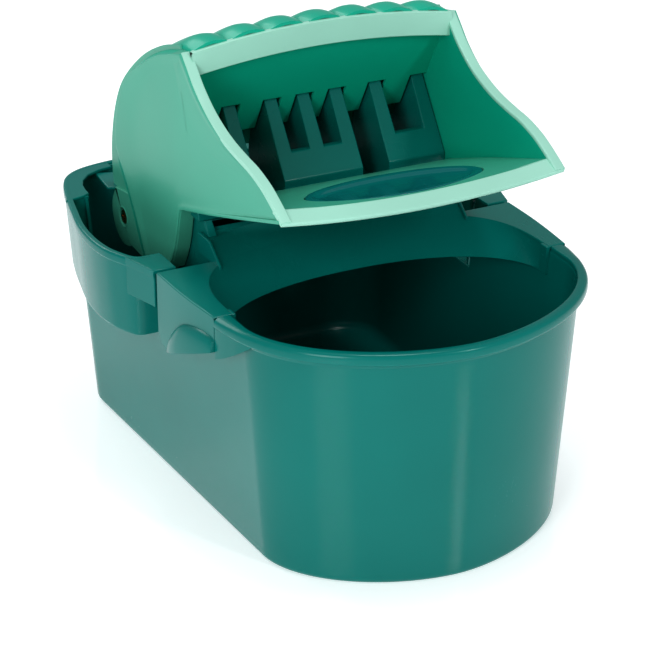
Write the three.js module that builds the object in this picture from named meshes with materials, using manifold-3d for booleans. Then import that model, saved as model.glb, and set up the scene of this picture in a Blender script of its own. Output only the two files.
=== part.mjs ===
// Mop bucket with a hinged press, millimetres, +Z up.
// X is across, the rounded dipping end points to -Y and the press stands towards +Y.
// Inside this file Y = 0 is the seam where the press frame's saddles meet the mouth's rolled rim.
// The exported group is moved along Y so that its origin is the middle of the footprint.
import * as THREE from "three";
import { mergeVertices } from "three/addons/utils/BufferGeometryUtils.js";
import Module from "manifold-3d";

const wasm = await Module();
wasm.setup();

// ---------------------------------------------------------------- driving sizes
// Fits
const touchGap = 0.3; // between pieces that rest on each other
const slipGap = 0.6; // between the lift-out frame and the bucket
const runningGap = 0.06; // radial, hopper ear on its bush
const swingGap = 1.5; // between pieces that swing past each other

// Bucket
const bucketHeight = 190;
const wall = 2.4;
const floorThickness = 3;
const mouthHalf = 131.5; // inner half width of the mouth at the rim
const mouthStart = -22; // where the straight side walls turn into the rounded end
const mouthReach = 94; // how far the rounded end runs forward of that
const roundness = 1.8; // power of the rounded end's superellipse
const baseHalf = 120.5; // outer half width of the base at the front
const baseReach = 87;
const baseHalfRear = 132.5;
const baseRear = 300;
const wallHalfRear = 142; // outer half width of the wall at rim height, at the back
const wallRear = 312;
const rearCorner = 38;
const rimRoll = 8; // how far the rolled rim stands out
const rimHeight = 9;
const rimWiden = 40; // length over which the rim widens to meet the saddle

// Collar, the wider band round the back of the bucket
const collarLow = 125; // underside of the band
const collarFront = 117; // front face of the band
const collarHalfFront = 157;
const collarHalf = 170.5; // widest
const collarHalfRear = 148;
const collarRear = 320;
const collarWall = 3;
const collarDraft = 4.5; // how much the band draws in towards its underside
const flangeDepth = 32; // upper flange that runs forward from the band to the saddle
const flangeHalf = 150.5;

// Press frame
const saddleLength = 90;
const saddleThickness = 3;
const saddleHalfFront = 145;
const saddleHalfRear = 150;
const skirtDropFront = 27; // outer skirt below the rim, front end
const skirtDropRear = 55;
const plate = 2.6; // plate thickness of the frame
const apronDrop = 22; // lower edge of the splash apron, below the rim
const apronLowReach = 73; // how far back the apron's lower edge curves
const apronHighReach = 101; // and its upper edge
const apronLowPower = 2.2;
const apronHighPower = 3;
const apronSlope = 0.84; // rise per unit of depth of its raised middle
const raisedHalf = 104; // half width of the raised middle, which also stops the hopper
const raisedTop = 203;
const raisedFoot = 79; // how far back its side ribs start
const raisedLedge = 14; // depth of the ledge on top of it
const pressFront = 114; // front wall under the combs
const armHalf = 101; // outer face of the two side arms
const armThickness = 7;
const armBottom = 150;
const armRear = 296;
const combSeat = 212; // top of the bar that the combs stand on
const combSeatDepth = 70;
const combSeatThickness = 7;
const tongueHalf = 40; // tongue that rests in the back rim
const domeRadius = 24; // half dome on each outer skirt
const domeBulge = 9;
const domeY = 31;
const domeDrop = 40;

// Combs
const combFootTop = 231.4; // where the upright foot turns into the leaning face
const combLean = 0.68; // run back per unit of height
const combTop = 293;
const combTopDepth = 9;
const combBack = 178;
const combWaist = 240;
const webTop = 249; // top of the web that joins a comb's fingers
const webDepth = 18;
const fingerWidth = 12;
const innerPitch = 27.5; // middle comb
const outerFinger = 62;
const edgeFinger = 99;

// Hopper
const hopperHalf = 113;
const cheekThickness = 6;
const cheekSkin = 1.8;
const lipTop = 276;
const lipSideY = -31; // where the shelf turns over into the sloping lip
const lipBow = 1.5; // how far its middle stands further forward
const lipSag = 7.2; // how far its middle hangs lower
const lipReach = 11.5; // the lip slopes down over this length
const lipDrop = 5.2;
const lipThickness = 3.4;
const shelfSlope = 0.345; // along the cheeks
const shelfMiddleSlope = 0.18;
const shelfBend = 42; // where the middle turns steeper
const shelfBack = 108;
const shelfThickness = 3;
const rimFrontY = 112;
const hopperRimHeight = 18;
const hopperRimDepth = 5;
const hopperRimEnd = 343; // top of the rim at the cheeks
const rimArch = 10;
const panelThickness = 3;
const panelTop = 339; // where the panel meets the back of the rim
const panelLean = 0.574;
const notchTop = 286;
const toothTip = 259;
const humpCount = 7;
const humpRise = 5;
const skinThickness = 2.8;
const legFrontTop = 127;
const legFrontFoot = 149;
const legFoot = 163;

// Oval inlay in the shelf
const inlayHalfLength = 70;
const inlayHalfWidth = 33;
const inlayY = 4;
const inlayThickness = 1.6;
const padMargin = 5; // thickened flat under the inlay
const padThickness = 3.6;

// Pivot, one each side
const pivotY = 251;
const pivotZ = 167;
const earRadius = 24;
const bossRadius = 8.6; // inner boss that runs on the bush
const seatSink = 0.6; // how far the screw's seat lies below the cheek's inner face
const sinkRadius = 7.4; // recess that hides the screw's head
const bushRadius = 6;
const boltRadius = 3;
const boltHeadRadius = 5.6;
const boltHeadThickness = 1.8;
const crossReach = 3.2; // arms of the cross recess
const crossHalf = 0.7;
const crossDepth = 1.1;
const washerRadius = 6.9;
const washerThickness = 0.8;
const insertRadius = 4.6;
const springRadius = 10;
const springWire = 0.8; // radius
const springTurns = 2.25;
const springLeg = 24;

// Drain grate under the combs
const grateThickness = 3;
const grateSlots = 7;
const slotWidth = 14;
const slotMargin = 12;
const ledgeWidth = 7;

// Comb screws
const combScrewRadius = 1.75;
const combScrewHead = 3.6;
const combScrewHeadHeight = 2.2;
const combScrewLength = 15;

// ---------------------------------------------------------------- small tools
function solidOf(geometry) {
  const bare = geometry.clone();
  bare.deleteAttribute("normal");
  bare.deleteAttribute("uv");
  const merged = mergeVertices(bare, 1e-4);
  const mesh = new wasm.Mesh({
    numProp: 3,
    vertProperties: new Float32Array(merged.attributes.position.array),
    triVerts: new Uint32Array(merged.index.array),
  });
  return new wasm.Manifold(mesh);
}

function geometryOf(solid) {
  const mesh = solid.getMesh();
  const geometry = new THREE.BufferGeometry();
  geometry.setAttribute("position", new THREE.BufferAttribute(new Float32Array(mesh.vertProperties), 3));
  geometry.setIndex(new THREE.BufferAttribute(new Uint32Array(mesh.triVerts), 1));
  const flat = geometry.toNonIndexed();
  flat.computeVertexNormals();
  return flat;
}

function join(...solids) {
  return solids.reduce((all, next) => all.add(next));
}

function cut(solid, ...tools) {
  return tools.reduce((left, tool) => left.subtract(tool), solid);
}

function lerp(a, b, t) {
  return a + (b - a) * t;
}

function mirrorX(points) {
  return points.map(([x, y]) => [-x, y]).reverse();
}

function shapeOf(points) {
  return new THREE.Shape(points.map(([a, b]) => new THREE.Vector2(a, b)));
}

// An upright prism over an outline in X and Y.
function prism(points, z0, z1) {
  const geometry = new THREE.ExtrudeGeometry(shapeOf(points), { depth: z1 - z0, bevelEnabled: false });
  geometry.translate(0, 0, z0);
  return solidOf(geometry);
}

// An upright solid whose outline changes from one list of points to another of the same length.
function loft(low, high, z0, z1) {
  const geometry = new THREE.ExtrudeGeometry(shapeOf(low), { depth: 1, bevelEnabled: false });
  const places = new Map(low.map((point, i) => [point.map(Math.fround).join(), i]));
  const position = geometry.attributes.position;
  for (let i = 0; i < position.count; i++) {
    const key = [position.getX(i), position.getY(i)].join();
    const isHigh = position.getZ(i) > 0.5;
    const target = (isHigh ? high : low)[places.get(key)];
    position.setXYZ(i, target[0], target[1], isHigh ? z1 : z0);
  }
  return solidOf(geometry);
}

// A plate whose outline lies in Y and Z, between two values of X.
function sidePlate(points, x0, x1) {
  const geometry = new THREE.ExtrudeGeometry(shapeOf(points), { depth: x1 - x0, bevelEnabled: false });
  const turn = new THREE.Matrix4().set(0, 0, 1, x0, 1, 0, 0, 0, 0, 1, 0, 0, 0, 0, 0, 1);
  geometry.applyMatrix4(turn);
  return solidOf(geometry);
}

function block(x0, x1, y0, y1, z0, z1) {
  const geometry = new THREE.BoxGeometry(x1 - x0, y1 - y0, z1 - z0);
  geometry.translate((x0 + x1) / 2, (y0 + y1) / 2, (z0 + z1) / 2);
  return solidOf(geometry);
}

// A round bar along X or along Z.
function barX(x0, x1, y, z, radius, sides = 48) {
  const geometry = new THREE.CylinderGeometry(radius, radius, x1 - x0, sides);
  geometry.rotateZ(Math.PI / 2);
  geometry.translate((x0 + x1) / 2, y, z);
  return solidOf(geometry);
}

function barZ(x, y, z0, z1, radius, sides = 20) {
  const geometry = new THREE.CylinderGeometry(radius, radius, z1 - z0, sides);
  geometry.rotateX(Math.PI / 2);
  geometry.translate(x, y, (z0 + z1) / 2);
  return solidOf(geometry);
}

// A bent sheet: place(u, v) gives its face for u and v from 0 to 1, and it grows by thickness along `grow`.
function sheet(place, grow, across, along) {
  const geometry = new THREE.BoxGeometry(1, 1, 1, across, along, 1);
  const position = geometry.attributes.position;
  for (let i = 0; i < position.count; i++) {
    const [x, y, z] = place(position.getX(i) + 0.5, position.getY(i) + 0.5);
    const w = position.getZ(i) + 0.5;
    position.setXYZ(i, x + grow[0] * w, y + grow[1] * w, z + grow[2] * w);
  }
  const solid = solidOf(geometry);
  if (solid.volume() > 0) return solid;
  const index = geometry.index.array;
  for (let i = 0; i < index.length; i += 3) [index[i], index[i + 1]] = [index[i + 1], index[i]];
  return solidOf(geometry);
}

// ---------------------------------------------------------------- outlines
// Half a superellipse from (-half, start) round by (0, start + reach) to (half, start).
function endCurve(half, start, reach, power, steps) {
  const points = [];
  for (let i = 0; i <= steps; i++) {
    const angle = (Math.PI * i) / steps;
    const c = Math.cos(angle);
    const x = -half * Math.sign(c) * Math.abs(c) ** (2 / power);
    points.push([i === steps ? half : x, start + reach * Math.abs(Math.sin(angle)) ** (2 / power)]);
  }
  return points;
}

// Outline of the bucket at one height, drawn in by `inset`.
function bucketPlan(level, inset) {
  const half = level.half - inset;
  const halfRear = level.halfRear - inset;
  const rear = level.rear - inset;
  const corner = rearCorner - inset;
  const points = endCurve(half, mouthStart, -(level.reach - inset), roundness, 30);
  const cornerSteps = 6;
  const right = [];
  for (let i = 0; i <= cornerSteps; i++) {
    const angle = (Math.PI / 2) * (i / cornerSteps);
    right.push([halfRear - corner + corner * Math.cos(angle), rear - corner + corner * Math.sin(angle)]);
  }
  return [...points, ...right, ...mirrorX(right)];
}

const baseLevel = { half: baseHalf, halfRear: baseHalfRear, reach: baseReach, rear: baseRear };
const rimLevel = {
  half: mouthHalf + wall,
  halfRear: wallHalfRear,
  reach: mouthReach + wall,
  rear: wallRear,
};

// Outer half width and length of the straight wall at a height, taken on the line from base to rim.
function wallHalfAt(z, y) {
  const up = z / bucketHeight;
  const along = (y - mouthStart) / (lerp(baseRear, wallRear, up) - rearCorner - mouthStart);
  return lerp(lerp(baseHalf, rimLevel.half, up), lerp(baseHalfRear, wallHalfRear, up), along);
}

// Right half of the collar's outline, from its front face round to the middle of the back.
function collarSide(inset) {
  const spline = new THREE.SplineCurve(
    [
      [collarHalfFront, collarFront],
      [collarHalf - 2, collarFront + 32],
      [collarHalf, collarFront + 58],
      [collarHalf - 8, collarFront + 113],
      [collarHalfRear, collarRear - 36],
      [collarHalfRear - 22, collarRear - 9],
      [collarHalfRear - 62, collarRear - 1],
      [0, collarRear],
    ].map(([x, y]) => new THREE.Vector2(x, y)),
  );
  const steps = 26;
  const points = [];
  for (let i = 0; i <= steps; i++) {
    const t = i / steps;
    const place = spline.getPoint(t);
    const along = spline.getTangent(t);
    points.push([place.x - along.y * inset, place.y + along.x * inset]);
  }
  points[0][1] = collarFront + inset;
  points[steps][0] = 0;
  return points;
}

function collarPlan(inset) {
  const side = collarSide(inset);
  return [...side, ...mirrorX(side.slice(0, -1))];
}

// ---------------------------------------------------------------- bucket
function makeBucket() {
  const outer = loft(bucketPlan(baseLevel, 0), bucketPlan(rimLevel, 0), 0, bucketHeight);
  const up = floorThickness / bucketHeight;
  const innerBase = {
    half: lerp(baseHalf, rimLevel.half, up),
    halfRear: lerp(baseHalfRear, wallHalfRear, up),
    reach: lerp(baseReach, rimLevel.reach, up),
    rear: lerp(baseRear, wallRear, up),
  };
  const inner = loft(bucketPlan(innerBase, wall), bucketPlan(rimLevel, wall), floorThickness, bucketHeight + 0.01);
  const rimOuter = { ...rimLevel, half: rimLevel.half + rimRoll - wall, reach: rimLevel.reach + rimRoll - wall };
  const roll = cut(
    prism(bucketPlan(rimOuter, 0), bucketHeight - rimHeight, bucketHeight),
    block(-400, 400, 0, 400, 0, 400),
  );
  const band = loft(collarPlan(collarDraft), collarPlan(0), collarLow, bucketHeight);
  const bandInner = loft(
    collarPlan(collarDraft + collarWall),
    collarPlan(collarWall),
    collarLow + wall,
    bucketHeight + 0.01,
  );
  const flares = [-1, 1].map((side) => {
    const points = [
      [mouthHalf + 1, -rimWiden],
      [mouthHalf + rimRoll - 1, -rimWiden],
      [saddleHalfFront, 0],
      [mouthHalf + 1, 0],
    ];
    return prism(side > 0 ? points : mirrorX(points), bucketHeight - rimHeight, bucketHeight);
  });
  const body = cut(join(outer, roll, band, ...flares), inner, bandInner);
  // The side walls are lower where the frame's saddles sit, so that the saddles lie flush.
  const seatLevel = bucketHeight - saddleThickness - slipGap;
  const saddleEnd = saddleLength + slipGap;
  const seat = block(-400, 400, 0, saddleEnd, seatLevel, bucketHeight + 1);
  const tongueSeat = block(
    -tongueHalf - slipGap,
    tongueHalf + slipGap,
    armRear,
    400,
    seatLevel,
    bucketHeight + 1,
  );
  return join(cut(body, seat, tongueSeat), flange(1, saddleEnd), flange(-1, saddleEnd));
}

// Upper flange of the collar that runs forward from the band to the saddle.
function flange(side, saddleEnd) {
  const top = [
    [mouthHalf + 1, saddleEnd],
    [flangeHalf, saddleEnd],
    [collarHalfFront, collarFront + wall],
    [mouthHalf + 1, collarFront + wall],
  ];
  const skin = [
    [flangeHalf - wall, saddleEnd],
    [flangeHalf, saddleEnd],
    [collarHalfFront, collarFront + wall],
    [collarHalfFront - wall, collarFront + wall],
  ];
  const place = (points) => (side > 0 ? points : mirrorX(points));
  return join(
    prism(place(top), bucketHeight - saddleThickness, bucketHeight),
    prism(place(skin), bucketHeight - flangeDepth, bucketHeight),
  );
}

// ---------------------------------------------------------------- press frame
// The splash apron between the mouth and the press, from its lower edge to its upper edge.
function makeApron() {
  const lowHalf = wallHalfAt(bucketHeight - apronDrop, 0) - wall - slipGap;
  const highHalf = mouthHalf - slipGap;
  const steps = 28;
  const low = endCurve(lowHalf, slipGap, apronLowReach, apronLowPower, steps);
  const high = endCurve(highHalf, slipGap, apronHighReach, apronHighPower, steps);
  const place = (u, v) => {
    const i = Math.round(u * steps);
    const [x0, y0] = low[i];
    const [x1, y1] = high[i];
    return [lerp(x0, x1, v), lerp(y0, y1, v), bucketHeight - apronDrop * (1 - v)];
  };
  return sheet(place, [0, plate, -plate / 2], steps, 4);
}

// Inner edge of a saddle: the apron's upper edge, as points on the right-hand side.
function saddleInner() {
  const points = endCurve(mouthHalf - slipGap, slipGap, apronHighReach, apronHighPower, 28);
  return points.filter(([x, y]) => x > 0 && y <= saddleLength - 1);
}

function saddleOuter(inset) {
  const points = [];
  const steps = 6;
  for (let i = 0; i <= steps; i++) {
    const t = i / steps;
    const bow = Math.sin(Math.PI * t) * 1.6;
    const x = lerp(saddleHalfFront, saddleHalfRear, t) + bow - inset;
    points.push([x, lerp(slipGap, saddleLength, t)]);
  }
  return points;
}

function makeSaddle(side) {
  const place = (points) => (side > 0 ? points : mirrorX(points));
  const inner = saddleInner();
  const last = inner[0];
  const top = [...saddleOuter(0), [last[0] - 4, saddleLength], ...inner.map(([x, y]) => [x - 0.5, y])];
  const skirt = [...saddleOuter(0), ...saddleOuter(plate).reverse()];
  const low = bucketHeight - skirtDropRear;
  const under = sidePlate(
    [
      [-20, low - 20],
      [saddleLength + 20, low - 20],
      [saddleLength + 20, low],
      [saddleLength - 20, low],
      [0, bucketHeight - skirtDropFront],
      [-20, bucketHeight - skirtDropFront],
    ],
    -400,
    400,
  );
  const clearWall = wallHalfAt(bucketHeight, 0) + slipGap;
  const webOuter = saddleHalfFront - 0.5;
  const web = block(clearWall, webOuter, slipGap, slipGap + plate, bucketHeight - skirtDropFront, bucketHeight - 1);
  const webPlaced = side > 0 ? web : web.mirror([1, 0, 0]);
  return join(
    prism(place(top), bucketHeight - saddleThickness, bucketHeight),
    cut(prism(place(skirt), low, bucketHeight), under),
    webPlaced,
    makeDome(side),
  );
}

// A half dome that swells from the outer skirt, cut flat underneath.
function makeDome(side) {
  const geometry = new THREE.SphereGeometry(1, 20, 12);
  geometry.scale(domeBulge, domeRadius, domeRadius);
  const skinX = (saddleHalfFront + saddleHalfRear) / 2;
  geometry.translate(side * skinX, domeY, bucketHeight - domeDrop);
  const flatCut = bucketHeight - domeDrop - 2;
  const inside = skinX - plate / 2;
  const keep =
    side > 0
      ? block(inside, 400, -100, 200, flatCut, bucketHeight)
      : block(-400, -inside, -100, 200, flatCut, bucketHeight);
  return solidOf(geometry).intersect(keep);
}

function makeArm(side) {
  const x0 = side > 0 ? armHalf - armThickness : -armHalf;
  const x1 = side > 0 ? armHalf : -armHalf + armThickness;
  const top = bucketHeight - saddleThickness;
  const outline = [
    [saddleLength - plate, armBottom + 15],
    [pressFront, armBottom],
    [armRear, armBottom],
    [armRear, top],
    [pressFront + combSeatDepth + 20, top],
    [pressFront + combSeatDepth, combSeat],
    [pressFront, combSeat],
    [saddleLength - plate, top],
  ];
  const arm = sidePlate(outline, x0, x1);
  const ledge0 = side > 0 ? armHalf - armThickness - ledgeWidth : -armHalf + 1;
  const ledge1 = side > 0 ? armHalf - 1 : -armHalf + armThickness + ledgeWidth;
  const ledge = block(ledge0, ledge1, pressFront + 8, armRear - 1, armBottom, armBottom + plate);
  const bore = barX(x0 - 1, x1 + 1, pivotY, pivotZ, insertRadius + touchGap, 32);
  return cut(join(arm, ledge), bore);
}

// Raised middle of the apron: it goes on up at the same slope as far as the wall under the combs.
function makeRaisedApron() {
  const steps = 12;
  const rise = raisedTop - bucketHeight;
  const overlap = 2;
  const place = (u, v) => {
    const x = lerp(-raisedHalf, raisedHalf, u);
    const t = Math.abs(x) / (mouthHalf - slipGap);
    const y0 = slipGap + apronHighReach * (1 - t ** apronHighPower) ** (1 / apronHighPower);
    const z = lerp(-overlap, rise, v);
    return [x, Math.min(y0 + z / apronSlope, pressFront + 1), bucketHeight + z];
  };
  const face = sheet(place, [0, plate, -plate / 2], steps, 3);
  const sideDepth = pressFront + 1;
  const sides = [-1, 1].map((side) => {
    const x0 = side > 0 ? raisedHalf - plate : -raisedHalf;
    return sidePlate(
      [
        [raisedFoot, bucketHeight - overlap],
        [sideDepth, bucketHeight - overlap],
        [sideDepth, raisedTop],
        [raisedFoot + rise / apronSlope, raisedTop],
        [raisedFoot, bucketHeight],
      ],
      x0,
      x0 + plate,
    );
  });
  const top = block(-raisedHalf, raisedHalf, pressFront - raisedLedge, sideDepth, raisedTop - plate, raisedTop);
  return join(face, top, ...sides);
}

function combSites() {
  return {
    left: [-edgeFinger, -outerFinger],
    middle: [-innerPitch, 0, innerPitch],
    right: [outerFinger, edgeFinger],
  };
}

// Each comb has one screw near each end of its foot.
function screwPlaces(fingers) {
  const inset = fingerWidth / 2 + combScrewHead;
  const first = fingers[0] + inset;
  const last = fingers[fingers.length - 1] - inset;
  const y = pressFront + webDepth / 2 + 2;
  return [first, last].map((x) => [x, y]);
}

function makePressFrame() {
  const inArm = armHalf - 1;
  const frontWall = block(-inArm, inArm, pressFront, pressFront + plate, armBottom, combSeat);
  const seatBar = block(
    -inArm,
    inArm,
    pressFront,
    pressFront + combSeatDepth,
    combSeat - combSeatThickness,
    combSeat,
  );
  // Two windows in the bar let the water through to the grate.
  const windowFront = pressFront + webDepth + 24;
  const windows = [-1, 1].map((side) =>
    block(
      side > 0 ? innerPitch + 18 : -edgeFinger + 14,
      side > 0 ? edgeFinger - 14 : -innerPitch - 18,
      windowFront,
      pressFront + combSeatDepth - 8,
      combSeat - combSeatThickness - 1,
      combSeat + 1,
    ),
  );
  const crossDrop = 24;
  const crossHalf = wallHalfAt(bucketHeight - crossDrop, saddleLength) - wall - slipGap;
  const crossWebs = [-1, 1].map((side) =>
    block(
      side > 0 ? armHalf - armThickness : -crossHalf,
      side > 0 ? crossHalf : -armHalf + armThickness,
      saddleLength - plate,
      saddleLength,
      bucketHeight - crossDrop,
      bucketHeight - 1,
    ),
  );
  const bridge = block(
    -inArm,
    inArm,
    saddleLength - plate,
    pressFront + 1,
    bucketHeight - saddleThickness - plate,
    bucketHeight - saddleThickness,
  );
  const rearBeam = block(
    -inArm,
    inArm,
    armRear - armThickness,
    armRear,
    armBottom,
    bucketHeight - saddleThickness,
  );
  const tongue = block(
    -tongueHalf,
    tongueHalf,
    armRear - 2,
    collarRear - 2,
    bucketHeight - saddleThickness,
    bucketHeight,
  );
  const tongueRoot = block(
    -tongueHalf,
    tongueHalf,
    armRear - armThickness,
    armRear,
    bucketHeight - saddleThickness - 2,
    bucketHeight,
  );
  let frame = join(
    makeApron(),
    makeSaddle(1),
    makeSaddle(-1),
    makeArm(1),
    makeArm(-1),
    frontWall,
    seatBar,
    ...crossWebs,
    bridge,
    rearBeam,
    tongue,
    tongueRoot,
    makeRaisedApron(),
  );
  frame = cut(frame, ...windows);
  for (const fingers of Object.values(combSites())) {
    for (const [x, y] of screwPlaces(fingers)) {
      frame = cut(frame, barZ(x, y, combSeat - combSeatThickness - 1, combSeat + 1, combScrewRadius + touchGap));
    }
  }
  return frame;
}

// ---------------------------------------------------------------- combs
function combFaceY(z) {
  return pressFront + combLean * Math.max(0, z - combFootTop);
}

function makeComb(fingers) {
  const foot = combSeat + touchGap;
  const blade = [
    [pressFront, foot],
    [combBack, foot],
    [combBack, combWaist],
    [combFaceY(combTop) + combTopDepth, combTop],
    [combFaceY(combTop), combTop],
    [pressFront, combFootTop],
  ];
  const web = [
    [pressFront, foot],
    [pressFront + webDepth, foot],
    [pressFront + webDepth, webTop],
    [combFaceY(webTop), webTop],
    [pressFront, combFootTop],
  ];
  const half = fingerWidth / 2;
  const blades = fingers.map((x) => sidePlate(blade, x - half, x + half));
  const joined = join(...blades, sidePlate(web, fingers[0] - half, fingers[fingers.length - 1] + half));
  const holes = screwPlaces(fingers).map(([x, y]) =>
    barZ(x, y, foot - 1, foot + combScrewLength, combScrewRadius + touchGap),
  );
  return cut(joined, ...holes);
}

function makeCombScrew(x, y) {
  const underside = combSeat - combSeatThickness - touchGap;
  const shank = barZ(x, y, underside - 0.5, combSeat + combScrewLength - 3, combScrewRadius);
  const head = barZ(x, y, underside - combScrewHeadHeight, underside, combScrewHead, 24);
  return join(shank, head);
}

// ---------------------------------------------------------------- drain grate
function makeGrate() {
  const half = armHalf - armThickness - slipGap;
  const y0 = pressFront + plate + slipGap;
  const y1 = armRear - armThickness - slipGap;
  const z0 = armBottom + plate + touchGap;
  const base = block(-half, half, y0, y1, z0, z0 + grateThickness);
  const pitch = (2 * half - slotMargin) / grateSlots;
  const slots = [];
  for (let i = 0; i < grateSlots; i++) {
    const x = (i - (grateSlots - 1) / 2) * pitch;
    slots.push(
      block(x - slotWidth / 2, x + slotWidth / 2, y0 + slotMargin, y1 - slotMargin, z0 - 1, z0 + grateThickness + 1),
    );
  }
  return cut(base, ...slots);
}

// ---------------------------------------------------------------- hopper
function shelfTop(y) {
  return lipTop - shelfSlope * (y - lipSideY);
}

// Down the middle the shelf starts lower, runs flatter, and meets the sides' slope again at the back.
function shelfMiddle(y) {
  const start = lipTop - lipSag;
  if (y < shelfBend) return start - shelfMiddleSlope * (y - lipSideY);
  const bend = start - shelfMiddleSlope * (shelfBend - lipSideY);
  return lerp(bend, shelfTop(shelfBack), (y - shelfBend) / (shelfBack - shelfBend));
}

function shelfHeight(x, y) {
  const t = x / hopperHalf;
  return lerp(shelfMiddle(y), shelfTop(y), t * t);
}

function cheekOutline() {
  const front = new THREE.SplineCurve(
    [
      [rimFrontY + 7, hopperRimEnd],
      [98, 324],
      [65, 305],
      [25, 295],
      [-11, 287],
      [lipSideY - lipReach, lipTop - lipDrop],
    ].map(([y, z]) => new THREE.Vector2(y, z)),
  ).getPoints(16);
  const rear = new THREE.SplineCurve(
    [
      [pivotY + earRadius - 1, pivotZ + 12],
      [276.5, 200],
      [275, 225],
      [265, 256],
      [246, 284],
      [207, 314],
      [167, 334],
      [132, 345],
    ].map(([y, z]) => new THREE.Vector2(y, z)),
  ).getPoints(16);
  const outline = [
    ...front.map((p) => [p.x, p.y]),
    [legFrontTop, shelfTop(legFrontTop) - 4],
    [(legFrontTop + legFrontFoot) / 2 - 3, lerp(shelfTop(legFrontTop), legFoot, 0.5)],
    [legFrontFoot, legFoot],
    [legFrontFoot + 16, pivotZ - 22],
    [pivotY, pivotZ - earRadius],
    ...rear.map((p) => [p.x, p.y]),
  ];
  return outline;
}

function makeCheek(side) {
  const inner = hopperHalf - cheekThickness;
  const span = (a, b) => (side > 0 ? [a, b] : [-b, -a]);
  const plateSolid = sidePlate(cheekOutline(), ...span(inner, hopperHalf));
  const boss = barX(...span(armHalf + swingGap, inner + 1), pivotY, pivotZ, bossRadius);
  const ear = barX(...span(inner, hopperHalf), pivotY, pivotZ, earRadius);
  // The cheek is a double skin, open at its foot.
  const hollow = sidePlate(
    [
      [legFrontFoot + 24, pivotZ - 60],
      [pivotY - earRadius - 6, pivotZ - 60],
      [pivotY - earRadius - 6, 200],
      [254, 225],
      [246, 250],
      [228, 280],
      [190, 308],
      [140, 328],
      [112, 312],
      [75, 290],
      [20, 279],
      [18, 263],
      [legFrontFoot + 14, 222],
    ],
    ...span(inner + cheekSkin, hopperHalf - cheekSkin),
  );
  const sink = barX(...span(seatX, hopperHalf + 1), pivotY, pivotZ, sinkRadius);
  const bore = barX(...span(armHalf, hopperHalf), pivotY, pivotZ, bushRadius + runningGap);
  return cut(join(plateSolid, ear, boss), hollow, sink, bore);
}

// Where the lip starts, in plan.
function lipFront(x) {
  const t = x / hopperHalf;
  return lipSideY - lipBow * (1 - t * t);
}

function makeShelf() {
  const half = hopperHalf - 1;
  const steps = 12;
  const place = (u, v) => {
    const x = lerp(-half, half, u);
    const y = lerp(lipFront(x), shelfBack, v);
    return [x, y, shelfHeight(x, y)];
  };
  const shelf = sheet(place, [0, 0, -shelfThickness], steps, 10);
  const lip = sheet(
    (u, v) => {
      const x = lerp(-half, half, u);
      return [x, lipFront(x) + 1 - lipReach * (1 - v), shelfHeight(x, lipSideY) - lipDrop * (1 - v)];
    },
    [0, 0, -lipThickness],
    steps,
    1,
  );
  const padHalf = inlayHalfLength + padMargin;
  const padReach = inlayHalfWidth + padMargin;
  const pad = sheet(
    (u, v) => {
      const y = lerp(inlayY - padReach, inlayY + padReach, v);
      return [lerp(-padHalf, padHalf, u), y, inlayPlane(y) - inlayThickness];
    },
    [0, 0, -padThickness],
    2,
    2,
  );
  return cut(join(shelf, lip, pad), ovalPrism(touchGap, inlayThickness + touchGap, 3));
}

// Height of the flat that the inlay lies on.
function inlayPlane(y) {
  return shelfMiddle(inlayY) - shelfMiddleSlope * (y - inlayY);
}

// The oval, square to the shelf: grown by `grow`, from `depth` below the shelf's face to `above` over it.
function ovalPrism(grow, depth, above) {
  const points = [];
  const steps = 48;
  for (let i = 0; i < steps; i++) {
    const angle = (2 * Math.PI * i) / steps;
    points.push([(inlayHalfLength + grow) * Math.cos(angle), (inlayHalfWidth + grow) * Math.sin(angle)]);
  }
  const geometry = new THREE.ExtrudeGeometry(shapeOf(points), { depth: depth + above, bevelEnabled: false });
  geometry.translate(0, 0, -depth);
  geometry.rotateX(-Math.atan(shelfMiddleSlope));
  geometry.translate(0, inlayY, inlayPlane(inlayY));
  return solidOf(geometry);
}

function archAt(x) {
  const t = x / hopperHalf;
  return rimArch * (1 - t * t);
}

function panelY(z) {
  return rimFrontY + hopperRimDepth - 1 + panelLean * (panelTop - z);
}

function makePanel() {
  const half = hopperHalf - cheekThickness + 1;
  const rim = sheet(
    (u, v) => {
      const x = lerp(-half, half, u);
      return [x, rimFrontY, hopperRimEnd + archAt(x) - hopperRimHeight * (1 - v)];
    },
    [0, hopperRimDepth, 0],
    12,
    1,
  );
  const panel = sheet(
    (u, v) => {
      const z = lerp(toothTip, panelTop, v);
      return [lerp(-half, half, u), panelY(z), z];
    },
    [0, panelThickness, 0],
    2,
    2,
  );
  const notchHalf = fingerWidth / 2 + swingGap;
  const sites = Object.values(combSites()).flat();
  const notches = sites.map((x) => {
    const outward = Math.abs(x) === edgeFinger ? Math.sign(x) : 0;
    const wide = hopperHalf - cheekThickness - Math.abs(x);
    const x0 = outward < 0 ? x - wide : x - notchHalf;
    const x1 = outward > 0 ? x + wide : x + notchHalf;
    return block(x0, x1, rimFrontY + 8, rimFrontY + 90, toothTip - 5, notchTop);
  });
  return join(rim, cut(panel, ...notches));
}

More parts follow.
